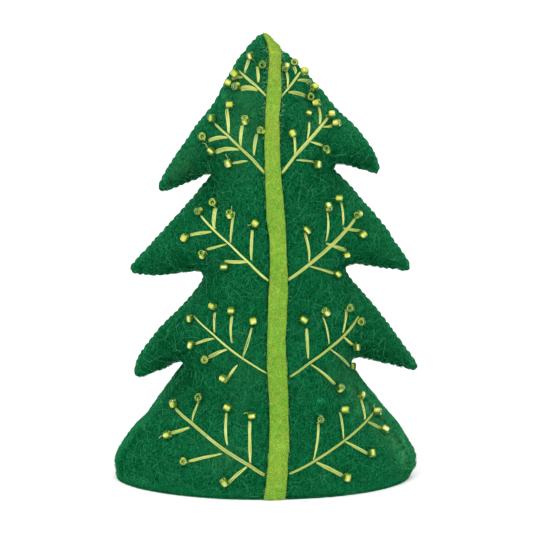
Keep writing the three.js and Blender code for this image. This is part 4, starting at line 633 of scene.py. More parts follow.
# spots of painted light and shade on the front, x z, reach and amount: painted paler where the amount is positive,
# painted shade where negative
for x, z, rx, rz, amount in (
        (-7, 116, 7, 15, 0.4), (-26.5, 101, 6, 7, 0.6), (-18, 100, 5, 6.5, -0.55), (8, 91.5, 4.5, 6, -0.28),
        (8.5, 67, 5.5, 11, -0.2), (-21, 70.5, 9, 3.5, -0.3), (-25.5, 44.5, 6, 4, -0.42), (39.5, 36.8, 7, 3.2, -0.42), (32.5, 42, 3, 2.6, -0.2),
       
        (25, 37, 5.5, 5, 0.5), (-6.5, 37, 6, 9, 0.2), (-12.5, 13.5, 6, 4.5, 0.28), (43.5, 7.5, 3.5, 5, 0.7),
        (15.4, 115.6, 4, 4, 0.5), (-31.5, 50.5, 4, 4, -0.34), (-23, 34, 4.5, 6, -0.2), (13, 96.5, 4.5, 3.5, -0.2),
        (14.5, 77, 4, 3.5, -0.2), (15, 109.3, 3.5, 3.5, -0.2), (-31, 28, 5, 6, 0.18), (-39, 10, 5, 6, -0.16)):
    spot = abs(amount) * np.exp(-(((V2 - (x, z)) / (rx, rz)) ** 2).sum(1)) * (1 + 0.5 * value_noise(78, V2, 3.5, 3))
    if amount > 0:
        PALE_LIGHT_F += spot
    else:
        UNDER_SHADE_F = np.clip(UNDER_SHADE_F + spot, 0, 1)
PALE_LIGHT_F *= 0.78
# painted light on the back: the flanks, and the lower right side
LOW_R = along_edge(smooth01((ex - 18) / 8) * smooth01((36 - ez) / 5) * smooth01((ez - 5) / 6), 4.6)
PALE_LIGHT_B = 0.08 * along_edge(flank * (ez > 20), 4.5) + 0.4 * LOW_R * np.exp(-(D_EDGE / 3.0) ** 2)


def plane_normals(V, F, Y, side):
    P = np.stack([V[:, 0], side * Y, V[:, 1]], 1)
    n = np.cross(P[F[:, 1]] - P[F[:, 0]], P[F[:, 2]] - P[F[:, 0]])
    out = np.zeros_like(P)
    for k in range(3):
        for a in range(3):
            out[:, a] += np.bincount(F[:, k], n[:, a], len(P))
    out = unit(out)
    if side < 0:
        flip = out[:, 1] > 0
    else:
        flip = out[:, 1] < 0
    out[flip] *= -1
    return P, out


def panel(name, Y, side, mat, replaces):
    """Closed felt shell: outer face, rounded cut edge, inner face."""
    P, N = plane_normals(V2, F2, Y, side)
    n = len(V2)
    inner_y = np.maximum(0.08, Y - FELT * np.minimum(1 / np.maximum(np.abs(N[:, 1]), 0.3), 2.2))
    inner_y = np.where(ON_LOOP & ~FOOT_V, 0.05, inner_y)
    Q = np.stack([V2[:, 0], side * inner_y, V2[:, 1]], 1)
    # two rounded rows on the cut edge
    loop = np.arange(n_loop)
    nxt, prv = V2[(loop + 1) % n_loop], V2[loop - 1]
    t = unit(nxt - prv)
    o = np.stack([-t[:, 1], t[:, 0]], 1)
    e = Y[loop] - inner_y[loop]
    rows = []
    for f, b in ((0.22, 0.16), (0.6, 0.16)):
        y = Y[loop] - e * f
        k = np.where(FOOT_V[loop], 0.0, b * np.clip(e, 0, 1.2))
        rows.append(np.stack([V2[loop, 0] + o[:, 0] * k, side * y, V2[loop, 1] + o[:, 1] * k], 1))
    VV = np.concatenate([P, Q] + rows)
    chain = [loop, 2 * n + loop, 2 * n + n_loop + loop, n + loop]
    quads = []
    for a, b in zip(chain[:-1], chain[1:]):
        quads.append(np.stack([a, np.roll(a, -1), np.roll(b, -1), b], 1))
    quads = np.concatenate(quads)
    tris = np.concatenate([F2, F2[:, [0, 2, 1]] + n])
    if side > 0:
        tris = tris[:, [0, 2, 1]]
        quads = quads[:, ::-1]
    ob = make(name, VV, [tris, quads], mat, replaces=replaces)
    # painted shade beside the strip, in the stitch pulls and along the low seam
    sh = np.zeros(len(VV))
    sh[:n] = SHADE_F if side < 0 else SHADE_B
    tone(ob, sh, "shade")
    # painted light on the edges that face up or sideways and along the foot, carried onto the cut edge
    rim = np.zeros(len(VV))
    rim[:n] = RIM_LIGHT
    rim[2 * n:] = np.tile(RIM_LIGHT[:n_loop], 2)
    tone(ob, rim, "rim")
    # painted light on the flanks and the lower right side
    down = np.zeros(len(VV))
    down[:n] = (PALE_LIGHT_F if side < 0 else PALE_LIGHT_B) * (1 + 0.5 * value_noise(77, V2, 5.0, 3))
    tone(ob, np.clip(down, 0, 1), "down")
    # painted shade on the undersides of the tiers
    deep = np.zeros(len(VV))
    deep[:n] = UNDER_SHADE_F if side < 0 else UNDER_SHADE
    tone(ob, deep, "under_shade")
    return ob, P, N


# ------------------------------------------------------------------ materials
def srgb(r, g, b):
    return tuple(((c / 255 / 12.92) if c / 255 <= 0.04045 else ((c / 255 + 0.055) / 1.055) ** 2.4) for c in (r, g, b)) + (1.0,)


class Nodes:
    def __init__(self, name):
        self.mat = bpy.data.materials.new(name)
        self.mat.use_nodes = True
        self.t = self.mat.node_tree
        self.t.nodes.clear()
        self.out = self.add("ShaderNodeOutputMaterial")
        self.bsdf = self.add("ShaderNodeBsdfPrincipled")
        self.link(self.bsdf.outputs[0], self.out.inputs[0])
        self.co = self.add("ShaderNodeTexCoord").outputs["Object"]

    def add(self, kind, **props):
        n = self.t.nodes.new(kind)
        for k, v in props.items():
            setattr(n, k, v)
        return n

    def link(self, a, b):
        self.t.links.new(a, b)

    def mapping(self, rot=(0, 0, 0), scale=(1, 1, 1), loc=(0, 0, 0), src=None, kind="POINT"):
        m = self.add("ShaderNodeMapping", vector_type=kind)
        m.inputs["Rotation"].default_value = rot
        m.inputs["Scale"].default_value = scale
        m.inputs["Location"].default_value = loc
        self.link(src or self.co, m.inputs["Vector"])
        return m.outputs[0]

    def noise(self, scale, detail=3, rough=0.6, dist=0.0, src=None):
        n = self.add("ShaderNodeTexNoise")
        n.inputs["Scale"].default_value = scale
        n.inputs["Detail"].default_value = detail
        n.inputs["Roughness"].default_value = rough
        n.inputs["Distortion"].default_value = dist
        self.link(src or self.co, n.inputs["Vector"])
        return n.outputs[0]

    def wave(self, scale, dist, detail, dscale, src, rough=0.6):
        n = self.add("ShaderNodeTexWave", wave_type="BANDS", bands_direction="X", wave_profile="SIN")
        n.inputs["Scale"].default_value = scale
        n.inputs["Distortion"].default_value = dist
        n.inputs["Detail"].default_value = detail
        n.inputs["Detail Scale"].default_value = dscale
        n.inputs["Detail Roughness"].default_value = rough
        self.link(src, n.inputs["Vector"])
        return n.outputs["Fac"]

    def ramp(self, src, stops, interp="LINEAR"):
        n = self.add("ShaderNodeValToRGB")
        r = n.color_ramp
        r.interpolation = interp
        while len(r.elements) > 1:
            r.elements.remove(r.elements[-1])
        r.elements[0].position, r.elements[0].color = stops[0]
        for p, c in stops[1:]:
            e = r.elements.new(p)
            e.color = c
        self.link(src, n.inputs[0])
        return n.outputs[0]

    def math(self, op, a, b=None, clamp=False):
        n = self.add("ShaderNodeMath", operation=op, use_clamp=clamp)
        for i, v in enumerate((a, b)):
            if v is None:
                continue
            if isinstance(v, (int, float)):
                n.inputs[i].default_value = v
            else:
                self.link(v, n.inputs[i])
        return n.outputs[0]

    def mix(self, fac, a, b, mode="MIX"):
        n = self.add("ShaderNodeMix", data_type="RGBA", blend_type=mode)
        for i, v in ((0, fac), (6, a), (7, b)):
            if isinstance(v, (int, float)):
                n.inputs[i].default_value = v
            elif isinstance(v, tuple):
                n.inputs[i].default_value = v
            else:
                self.link(v, n.inputs[i])
        return n.outputs[2]

    def attr(self, name):
        n = self.add("ShaderNodeAttribute")
        n.attribute_type = "GEOMETRY"
        n.attribute_name = name
        return n.outputs["Fac"]

    def bump(self, height, strength, distance):
        n = self.add("ShaderNodeBump")
        n.inputs["Strength"].default_value = strength
        n.inputs["Distance"].default_value = distance
        self.link(height, n.inputs["Height"])
        self.link(n.outputs[0], self.bsdf.inputs["Normal"])

    def set(self, **kw):
        for k, v in kw.items():
            self.bsdf.inputs[k.replace("_", " ")].default_value = v

    def to(self, src, name):
        self.link(src, self.bsdf.inputs[name])


WHITE, BLACK = (1, 1, 1, 1), (0, 0, 0, 1)


def felt_material(name, dark, deep, mid, light, other, hair, hair_amount, sheen, sheen_tint, k=1.0, relief=1.0, warm=None, other_amount=0.5, pale=(0.1, 0.4, 0.14, 1.0)):
    """Pressed wool: blotchy depth of colour under a mat of thin fibres lying in all directions."""
    m = Nodes(name)
    big = m.noise(75 * k, 3, 0.55)
    mid_n = m.noise(430 * k, 4, 0.66, 0.5)
    fine = m.noise(2600, 3, 0.7)
    bend = m.co
    for scale, amount in ((150, 0.0042), (620, 0.0008)):
        wn = m.add("ShaderNodeTexNoise")
        wn.inputs["Scale"].default_value = scale
        wn.inputs["Detail"].default_value = 1
        m.link(m.co, wn.inputs["Vector"])
        warp = m.add("ShaderNodeVectorMath", operation="MULTIPLY_ADD")
        m.link(wn.outputs[1], warp.inputs[0])
        warp.inputs[1].default_value = (amount,) * 3
        m.link(bend, warp.inputs[2])
        bend = warp.outputs[0]
    up, down = None, None
    for i, angle in enumerate((0.12, 0.85, 0.35, 2.1, 2.8)):
        v = m.mapping((0.3 * (-1) ** i, angle, 0.15), (0.00024, 0.0009, 0.0020), (0.031 * i, 0.017 * i, 0.011), bend, "TEXTURE")
        n = m.noise(1.0, 2, 0.6, 0.0, v)
        line = m.ramp(n, [(0.57, BLACK), (0.68, WHITE)])
        up = line if up is None else m.math("MAXIMUM", up, line)
        if i % 2 == 0:
            line = m.ramp(n, [(0.33, WHITE), (0.44, BLACK)])
            down = line if down is None else m.math("MAXIMUM", down, line)
    c = m.mix(m.ramp(mid_n, [(0.36, BLACK), (0.66, WHITE)]), deep, mid)
    c = m.mix(m.math("MULTIPLY", m.ramp(m.noise(210 * k, 2, 0.5, 0.0, m.mapping((0.4, 0.2, 0.9))), [(0.48, BLACK), (0.68, WHITE)]), other_amount), c, other)
    c = m.mix(m.math("MULTIPLY", m.ramp(big, [(0.42, BLACK), (0.66, WHITE)]), 0.4), c, light)
    if warm:
        c = m.mix(m.attr("warm"), c, warm)
    # painted light on the felt panels' flanks and lower right; on the strip it tints the cut faces green
    c = m.mix(m.math("MULTIPLY", m.attr("down"), m.ramp(mid_n, [(0.34, (0.6, 0.6, 0.6, 1)), (0.66, (1.5, 1.5, 1.5, 1))]), clamp=True), c, pale)
    c = m.mix(m.math("MULTIPLY", down, 0.8), c, dark)
    c = m.mix(m.math("MULTIPLY", up, hair_amount), c, hair)
    c = m.mix(m.math("MULTIPLY", m.ramp(fine, [(0.5, BLACK), (0.68, WHITE)]), 0.5), c, hair)
    c = m.mix(m.math("MULTIPLY", m.ramp(fine, [(0.34, WHITE), (0.48, BLACK)]), 0.55), c, dark)
    # painted light on the edges that face up or sideways and along the foot
    c = m.mix(m.math("MULTIPLY", m.attr("rim"), 0.5), c, hair)
    low = tuple(v * 0.25 for v in deep[:3]) + (1.0,)
    # painted shade on the undersides of the tiers
    c = m.mix(m.math("MULTIPLY", m.attr("under_shade"), 0.74), c, low)
    # painted shade beside the strip, in the stitch pulls and along the low seam
    c = m.mix(m.math("MULTIPLY", m.attr("shade"), 0.8), c, low)
    m.to(c, "Base Color")
    h = m.math("ADD", m.math("MULTIPLY", mid_n, 0.7), m.math("ADD", m.math("MULTIPLY", fine, 0.25), m.math("MULTIPLY", m.math("SUBTRACT", up, down), 0.4)))
    m.bump(h, relief, 0.00045)
    m.set(Roughness=0.95, Sheen_Weight=sheen, Sheen_Roughness=0.5, Sheen_Tint=sheen_tint, Specular_IOR_Level=0.0)
    return m.mat


FELT_MAT = felt_material("felt_green", srgb(0, 23, 11), srgb(0, 57, 28), srgb(1, 87, 44), srgb(9, 108, 57), srgb(0, 79, 52), srgb(36, 148, 92), 0.84, 0.2, srgb(0, 186, 92))
LIME_MAT = felt_material("felt_lime", srgb(88, 142, 42), srgb(94, 162, 46), srgb(116, 181, 52), srgb(141, 191, 61), srgb(161, 184, 61), srgb(176, 207, 90), 0.3, 0.03, srgb(200, 235, 120), 3.0, 0.6, srgb(171, 189, 68), 0.7, pale=srgb(52, 124, 50))


def plain_fibre(name, base, light, sheen, rough=0.8, scale=900):
    m = Nodes(name)
    c = m.mix(m.ramp(m.noise(scale, 3, 0.6), [(0.35, BLACK), (0.7, WHITE)]), base, light)
    c = m.mix(m.attr("tone"), c, light)
    m.to(c, "Base Color")
    m.set(Roughness=rough, Sheen_Weight=sheen, Sheen_Roughness=0.4, Specular_IOR_Level=0.0)
    return m.mat


FUZZ_MAT = plain_fibre("wool_fuzz_green", srgb(0, 88, 50), srgb(34, 140, 90), 0.0)
EDGE_FUZZ_MAT = plain_fibre("wool_fuzz_edge", srgb(6, 122, 70), srgb(66, 172, 116), 0.0)
STRAY_MAT = plain_fibre("wool_stray", srgb(18, 130, 78), srgb(78, 174, 120), 0.0)
PALE_MAT = plain_fibre("wool_pale", srgb(84, 170, 110), srgb(140, 204, 150), 0.0)
FUZZ_LIME = plain_fibre("wool_fuzz_lime", srgb(118, 172, 44), srgb(188, 213, 96), 0.0)
STUFF_MAT = plain_fibre("fibre_fill", srgb(232, 230, 222), srgb(250, 249, 244), 0.3, 0.95, 400)
THREAD_MAT = plain_fibre("sewing_thread", srgb(0, 76, 42), srgb(16, 116, 70), 0.0, 0.9, 1600)


def floss_material():
    m = Nodes("cotton_floss")
    n = m.noise(260, 2, 0.5)
    f = m.noise(2600, 3, 0.6)
    c = m.mix(m.ramp(n, [(0.35, BLACK), (0.68, WHITE)]), srgb(200, 216, 110), srgb(226, 238, 150))
    c = m.mix(m.math("MULTIPLY", m.ramp(f, [(0.4, BLACK), (0.7, WHITE)]), 0.35), c, srgb(172, 192, 86))
    c = m.mix(m.math("MULTIPLY", m.attr("tone"), 0.75), c, srgb(142, 166, 62))
    m.to(c, "Base Color")
    m.bump(f, 0.5, 0.00008)
    m.set(Roughness=0.46, Sheen_Weight=0.25, Sheen_Roughness=0.35, Specular_IOR_Level=0.45)
    return m.mat


FLOSS_MAT = floss_material()


def bead_materials():
    """Silver-lined yellow-green glass with its reflections painted: tone 0 is the painted highlight where the lining
    would shine through, 1 the painted shade of the deep glass at the flanks.
    """
    m = Nodes("bead_glass")
    n = m.math("MULTIPLY", m.noise(900, 2, 0.5), 0.34)
    d = m.math("ADD", m.attr("tone"), m.math("SUBTRACT", n, 0.17), clamp=True)
    c = m.ramp(d, [(0.0, srgb(244, 244, 206)), (0.05, srgb(226, 226, 142)), (0.13, srgb(210, 212, 96)), (0.3, srgb(192, 200, 64)), (0.5, srgb(140, 170, 62)), (0.74, srgb(92, 142, 56)), (1.0, srgb(38, 88, 40))])
    m.to(c, "Base Color")
    m.set(Roughness=0.12, Transmission_Weight=0.12, IOR=1.3, Specular_IOR_Level=0.1)
    g = m.mat
    m = Nodes("bead_lining")
    n = m.noise(900, 2, 0.5)
    # the lining's colour mottles silver with dark olive: painted shade inside the hole between bright glints
    c = m.mix(m.ramp(n, [(0.46, BLACK), (0.6, WHITE)]), srgb(58, 84, 34), srgb(236, 236, 214))
    m.to(c, "Base Color")
    m.set(Metallic=0.5, Roughness=0.3)
    return g, m.mat


GLASS_MAT, LINING_MAT = bead_materials()

# ------------------------------------------------------------------ felt panels
front, PF, NF = panel("felt_front", Y_FRONT, -1, FELT_MAT, ("front_panel",))
back, PB, NB = panel("felt_back", Y_BACK, 1, FELT_MAT, ("back_panel",))
TREE_F = BVHTree.FromPolygons([Vector(p) for p in PF], [tuple(f) for f in F2.tolist()])
TREE_B = BVHTree.FromPolygons([Vector(p) for p in PB], [tuple(f) for f in F2.tolist()])


def skin(x, z, side=-1):
    """Point and outward normal of the front (-1) or back (1) skin at x, z; the nearest one past the edge."""
    tree = TREE_F if side < 0 else TREE_B
    hit, n, _, _ = tree.ray_cast(Vector((x, side * 60, z)), Vector((0, -side, 0)))
    if hit is None:
        hit, n, _, _ = tree.find_nearest(Vector((x, side * 2.0, z)))
    if n.y * side < 0:
        n = -n

    return np.array(hit), np.array(n)


def foot_oval(grow, n=240):
    """Points and outward directions of the foot oval, which meets the lower rim of both panels."""
    a = np.linspace(0, 2 * math.pi, n, endpoint=False)
    b = BULGE + 0.12
    p = np.stack([XC + XA * np.cos(a), b * np.sign(np.sin(a)) * np.abs(np.sin(a)) ** (2 * OVAL)], 1)
    t = unit(np.roll(p, -1, 0) - np.roll(p, 1, 0))
    o = np.stack([t[:, 1], -t[:, 0]], 1)
    return p + o * np.asarray(grow).reshape(-1, 1), o


def base_panel():
    n = 420
    a = np.linspace(0, 2 * math.pi, n, endpoint=False)
    wob = 0.09 * np.sin(a * 74 + 2 * np.sin(a * 3)) + 0.07 * np.sin(a * 17 + 1) + 0.06 * np.sin(a * 7 + 2)
    prof = [(-9.0, 0.0), (-2.2, 0.0), (-0.7, 0.02), (-0.25, 0.08), (0.02, 0.22), (0.06, 0.38), (-0.04, 0.5), (-0.45, 0.55), (-1.35, 0.62), (-1.9, 1.15), (-2.8, 1.36), (-9.0, 1.38)]
    V, Q = [], []
    for r, z in prof:
        if r > -3:
            p, _ = foot_oval(np.full(n, r - 0.02) + wob * (1 if r > -1 else 0), n)
        else:
            p, _ = foot_oval(0.0, n)
            p = (p - (XC, 0)) * (1 + r / XA) + (XC, 0)
        V.append(np.concatenate([p, np.full((n, 1), z) + (wob * 0.6 * (0.2 < z < 0.6))[:, None]], 1))
    for i in range(len(prof) - 1):
        k = np.arange(n)
        Q.append(np.stack([i * n + k, i * n + (k + 1) % n, (i + 1) * n + (k + 1) % n, (i + 1) * n + k], 1))
    V.append(np.array([[XC, 0, 0.0], [XC, 0, 1.38]]))
    V = np.concatenate(V)
    k = np.arange(n)
    lo_c, hi_c = len(V) - 2, len(V) - 1
    T = np.concatenate([np.stack([np.full(n, lo_c), (k + 1) % n, k], 1), np.stack([np.full(n, hi_c), (len(prof) - 1) * n + k, (len(prof) - 1) * n + (k + 1) % n], 1)])
    return make("felt_base", V, [np.concatenate(Q), T], FELT_MAT, replaces=("base_panel",))


base_panel()


def stuffing():
    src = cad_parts["stuffing"]
    me = src.data.copy()
    ob = bpy.data.objects.new("fibre_core", me)
    bpy.context.scene.collection.objects.link(ob)
    ob.matrix_world = src.matrix_world.copy()
    bpy.context.view_layer.update()
    me.materials.clear()
    me.materials.append(STUFF_MAT)
    mod = ob.modifiers.new("r", "REMESH")
    mod.mode, mod.voxel_size = "VOXEL", 1.8 * MM
    mod2 = ob.modifiers.new("s", "SMOOTH")
    mod2.factor, mod2.iterations = 0.6, 6
    dg = bpy.context.evaluated_depsgraph_get()
    done = bpy.data.meshes.new_from_object(ob.evaluated_get(dg))
    ob.modifiers.clear()
    ob.data = done
    for p in done.polygons:
        p.use_smooth = True
    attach(ob, "root")
    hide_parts("stuffing")


stuffing()


# ------------------------------------------------------------------ stitches
def path_frames(points, normals, m):
    """Resample a short 3-D path to m points."""
    points, normals = np.asarray(points, float), np.asarray(normals, float)
    a = poly_len(points)
    s = np.linspace(0, a[-1], m)
    P = np.stack([np.interp(s, a, points[:, k]) for k in range(3)], 1)
    for _ in range(2):
        P[1:-1] = 0.25 * P[:-2] + 0.5 * P[1:-1] + 0.25 * P[2:]
    N = unit(np.stack([np.interp(s, a, normals[:, k]) for k in range(3)], 1))
    return P, N


def side_at(s):
    """Point, tangent and outward direction of the sewn edge at arc length s."""
    p = np.array([np.interp(s, S_SIDE, side_path[:, k]) for k in (0, 1)])
    q = np.array([np.interp(s + 0.5, S_SIDE, side_path[:, k]) for k in (0, 1)])
    r = np.array([np.interp(s - 0.5, S_SIDE, side_path[:, k]) for k in (0, 1)])
    t = unit(q - r)
    return p, t, np.array([-t[1], t[0]])


def overcast():
    rng = np.random.default_rng(5)
    Ps, Ns, sides = [], [], []
    grid = np.arange(0, S_SIDE[-1], 0.05)
    count = int(beat(S_SIDE[-1]) / PITCH)
    for i in range(1, count):
        s = float(np.interp(i * PITCH, beat(grid), grid))
        p, t, o = side_at(s)
        if p[1] < 33.5:
            continue
        if p[1] > 133.6 and -1.5 < p[0] < 4.6:
            continue
        depth = 1.5 + rng.uniform(-0.12, 0.12)
        slant = SLANT + rng.uniform(-0.06, 0.06)
        pts, nrm = [], []

        def face(inb, along_s, side, lift):
            q, t2, o2 = side_at(s + along_s)
            x, z = q - o2 * inb
            h, n = skin(x, z, side)
            n = unit(n + np.array([0, side * 0.4, 0]))
            pts.append(h + n * lift)
            nrm.append(n)

        face(depth, -slant, -1, -0.22)
        face(depth * 0.8, -slant * 0.8, -1, 0.06)
        face(0.85, -slant * 0.5, -1, 0.08)
        for y, out in ((-0.75, -0.46), (-0.3, -0.38), (0.3, -0.38), (0.75, -0.46)):
            q, t2, o2 = side_at(s + y * 0.25)
            x, z = q + o2 * out
            pts.append(np.array([x, y, z]))
            nrm.append(unit(np.array([o2[0], y * 0.5, o2[1]])))
        face(0.85, slant * 0.5, 1, 0.08)
        face(depth * 0.8, slant * 0.8, 1, 0.06)
        face(depth, slant, 1, -0.22)
        P, N = path_frames(pts, nrm, 16)
        Ps.append(P)
        Ns.append(N)
        sides.append(p[0])
    Ps, Ns, sides = np.array(Ps), np.array(Ns), np.array(sides)
    R = np.full(Ps.shape[:2], 0.17)
    R[:, 0] = R[:, -1] = 0.11
    for nm, mask, node in (("overcast_left", sides < 0, "side_seam_thread_left"), ("overcast_right", sides >= 0, "side_seam_thread_right")):
        V, F = tubes(Ps[mask], Ns[mask], R[mask], 7)
        make(nm, V, F, THREAD_MAT, replaces=(node,))


overcast()


def low_seam():
    """Small stitches of the lowest tier's side seam, a little inside the rounded side."""
    Ps, Ns = [], []
    for s0, s1 in ((0, 1), (1, 0)):
        s = np.arange(1.6, 60, 2.2)
        for v in s:
            ss = v if s0 == 0 else S_SIDE[-1] - v
            p, t, o = side_at(ss)
            if p[1] > 31 or p[1] < 2:
                continue
            pts, nrm = [], []
            for k, lift in ((-0.62, -0.2), (-0.35, 0.03), (0, 0.07), (0.35, 0.03), (0.62, -0.2)):
                q, t2, o2 = side_at(ss + k)
                x, z = q - o2 * 1.95
                h, n = skin(x, z, -1)
                pts.append(h + n * lift)
                nrm.append(n)
            P, N = path_frames(pts, nrm, 8)
            Ps.append(P)
            Ns.append(N)
    Ps, Ns = np.array(Ps), np.array(Ns)
    R = np.full(Ps.shape[:2], 0.15)
    V, F = tubes(Ps, Ns, R, 6)
    make("low_side_seam", V, F, THREAD_MAT)


low_seam()


def foot_seam():
    rng = np.random.default_rng(8)
    pts2, n2 = foot_oval(0.0, 720)
    L = poly_len(np.vstack([pts2, pts2[:1]]))
    closed = np.vstack([pts2, pts2[:1]])
    Ps, Ns = [], []
    for s in np.arange(0, L[-1] - 1.2, 2.35):
        def at(v):
            v = v % L[-1]
            p = np.array([np.interp(v, L, closed[:, k]) for k in (0, 1)])
            q = np.array([np.interp((v + 0.3) % L[-1], L, closed[:, k]) for k in (0, 1)])
            t = unit(q - p)
            return p, np.array([t[1], -t[0]])
        pts, nrm = [], []
        j = rng.uniform(-0.1, 0.1)
        for out, z, k in ((-0.75, 1.75, -0.5), (-0.2, 1.5, -0.4), (-0.08, 1.1, -0.2), (0.0, 0.75, 0.0), (0.1, 0.45, 0.15), (0.0, 0.2, 0.3), (-0.35, 0.1, 0.4)):
            p, o = at(s + k + j)
            pts.append(np.array([p[0] + o[0] * out, p[1] + o[1] * out, z]))
            nrm.append(np.array([o[0], o[1], 0.1]))
        P, N = path_frames(pts, nrm, 10)
        Ps.append(P)
        Ns.append(N)
    V, F = tubes(np.array(Ps), np.array(Ns), np.full((len(Ps), 10), 0.13), 6)
    make("foot_seam", V, F, THREAD_MAT, replaces=("base_seam_thread",))


foot_seam()


# ------------------------------------------------------------------ trunk strip
T_S = 1.05
TIP_LEFT = np.array([(0.88, 132.6), (0.66, 134.3), (0.32, 135.7), (-0.1, 137.0), (-0.6, 138.0), (-1.05, 138.55)])
TIP_RIGHT = np.array([(4.15, 132.6), (4.12, 133.1), (4.0, 133.5), (3.8, 133.85), (3.5, 134.15), (3.2, 134.45)])
CREST = np.array([(-1.2, 139.35), (0.15, 139.08), (1.6, 137.75), (2.9, 136.3), (4.15, 134.95)])
BACK_LEFT = np.array([(-1.05, 138.55), (-0.75, 137.6), (-0.5, 136.4), (-0.3, 135.0), (-0.15, 133.4), (-0.1, 131.6), (-0.1, 124.4)])
BACK_RIGHT = np.array([(3.2, 134.45), (3.5, 134.1), (3.7, 133.6), (3.8, 133.0), (3.85, 132.2), (3.85, 131.2), (3.8, 124.4)])


def strip_rows():
    """Outer and inner rows of the strip: up the front, over the tip's right shoulder and down the back."""
    C = 13
    U = np.linspace(0, 1, C)
    O, I = [], []

    def row(l, r, side, bow=0.0):
        l, r = np.array(l), np.array(r)
        across = r - l
        up = unit(np.array([-across[1], across[0]]))
        ro, ri = [], []
        for u in U:
            x, z = l + across * u + up * bow * 4 * u * (1 - u)
            h, n = skin(x, max(z, 0.95), side)
            h = h - (0, 0, max(0.95 - z, 0))           # the foot row hangs straight below the one above
            th = T_S * (1 - 0.08 * abs(2 * u - 1) ** 6)
            ro.append(h + n * th)
            ri.append(h + n * 0.03)
        O.append(ro)
        I.append(ri)

    for z in np.arange(0.45, 132.5, 0.8):
        l, r = strip_at(z)
        l += 0.05 * math.sin(z * 0.9) + 0.035 * math.sin(z * 2.3 + 1)
        r += 0.05 * math.sin(z * 0.8 + 2) + 0.035 * math.sin(z * 2.1 + 4)
        row((l, z), (r, z), -1)
    w = np.linspace(0, 1, 9)
    lf, rf = along(TIP_LEFT, w * poly_len(TIP_LEFT)[-1]), along(TIP_RIGHT, w * poly_len(TIP_RIGHT)[-1])
    for k in range(9):
        row(lf[k], rf[k], -1, 0.55 * w[k] ** 2)
    c = along(CREST, U * poly_len(CREST)[-1])
    e = unit(np.gradient(c, axis=0))
    out = np.stack([-e[:, 1], e[:, 0]], 1)
    for y, d in ((-0.75, 0.1), (0.0, 0.0), (0.75, 0.1)):
        O.append([np.array([p[0] - o[0] * d, y * 1.6, p[1] - o[1] * d]) for p, o in zip(c, out)])
        I.append([np.array([p[0] - o[0] * (T_S + d), y * 0.75, p[1] - o[1] * (T_S + d)]) for p, o in zip(c, out)])
    w = np.linspace(0, 1, 26)
    lb, rb = along(BACK_LEFT, w * poly_len(BACK_LEFT)[-1]), along(BACK_RIGHT, w * poly_len(BACK_RIGHT)[-1])
    for k in range(26):
        row(lb[k], rb[k], 1, 0.55 * max(0, 1 - w[k] * 4) ** 2)
    O, I = np.array(O), np.array(I)
    for A in (O, I):                       # ease the rows along the strip
        for _ in range(5):
            A[1:-1] = 0.25 * A[:-2] + 0.5 * A[1:-1] + 0.25 * A[2:]
    return O, I


def trunk():
    O, I = strip_rows()
    m, C, _ = O.shape
    ny = unit(O - I)
    s = np.cumsum(np.concatenate([[0], np.linalg.norm(np.diff(O[:, C // 2], axis=0), axis=1)]))
    g = np.stack([np.tile(np.linspace(0, 5.5, C), m), np.repeat(s, C)], 1)
    noise = value_noise(31, g, 4.0, 2).reshape(m, C) * 0.06 + value_noise(32, g, 1.1, 1).reshape(m, C) * 0.035
    O = O + ny * noise[..., None]
    rg = np.random.default_rng(93)
    for col, nb in ((0, 1), (-1, -2)):      # cut edge, a little uneven and fluffed out
        j = rg.normal(0, 1, m)
        j = 0.09 * (0.25 * np.roll(j, 1) + 0.6 * j + 0.25 * np.roll(j, -1)) * smooth01((125 - s) / 8)
        O[:, col] += unit(O[:, col] - O[:, nb]) * j[:, None]
    # cross-section ring: outer left to right, rounded edge, inner right to left, rounded edge
    er = O[:, -1] * 0.80 + I[:, -1] * 0.20 + unit(O[:, -1] - O[:, -2]) * 0.10
    el = O[:, 0] * 0.80 + I[:, 0] * 0.20 + unit(O[:, 0] - O[:, 1]) * 0.10
    mr = O[:, -1] * 0.45 + I[:, -1] * 0.55 + unit(O[:, -1] - O[:, -2]) * 0.12
    ml = O[:, 0] * 0.45 + I[:, 0] * 0.55 + unit(O[:, 0] - O[:, 1]) * 0.12
    ring = np.concatenate([O, er[:, None], mr[:, None], I[:, ::-1], ml[:, None], el[:, None]], 1)
    R = ring.shape[1]
    V = ring.reshape(-1, 3)
    i = np.arange(m - 1)[:, None] * R
    k = np.arange(R)[None, :]
    k2 = (k + 1) % R
    quads = np.stack(np.broadcast_arrays(i + k, i + k2, i + R + k2, i + R + k), -1).reshape(-1, 4)
    c0, c1 = ring[0].mean(0), ring[-1].mean(0)
    V = np.vstack([V, c0, c1])
    kk = np.arange(R)
    t0 = np.stack([np.full(R, len(V) - 2), (kk + 1) % R, kk], 1)
    t1 = np.stack([np.full(R, len(V) - 1), (m - 1) * R + kk, (m - 1) * R + (kk + 1) % R], 1)
    ob = make("trunk_felt", V, [quads, np.concatenate([t0, t1])], LIME_MAT, replaces=("trunk_strip",))
    blot = value_noise(33, V[:, [0, 2]] + (60, 10), 7.0, 2)
    warm = 0.34 * smooth01((V[:, 2] - 90) / 14) + 0.34 * smooth01((V[:, 2] - 126) / 9)
    tone(ob, np.clip(warm * (1 + 0.6 * blot) + 0.34 * np.clip(blot, 0, 1), 0, 1), "warm")
    side = np.full(R, 0.0)
    side[C:] = 0.9
    side[[0, C - 1]] = 0.3
    tone(ob, np.concatenate([np.tile(side, m), [0.5, 0.5]]), "down")
    return O, I


STRIP_O, STRIP_I = trunk()


# ------------------------------------------------------------------ embroidered sprigs
def curve2(a, b, c, m):
    a, b = np.array(a, float), np.array(b, float)
    c = (a + b) / 2 if c is None else np.array(c, float)
    k = 2 * c - (a + b) / 2
    u = np.linspace(0, 1, m)[:, None]
    return (1 - u) ** 2 * a + 2 * u * (1 - u) * k + u * u * b


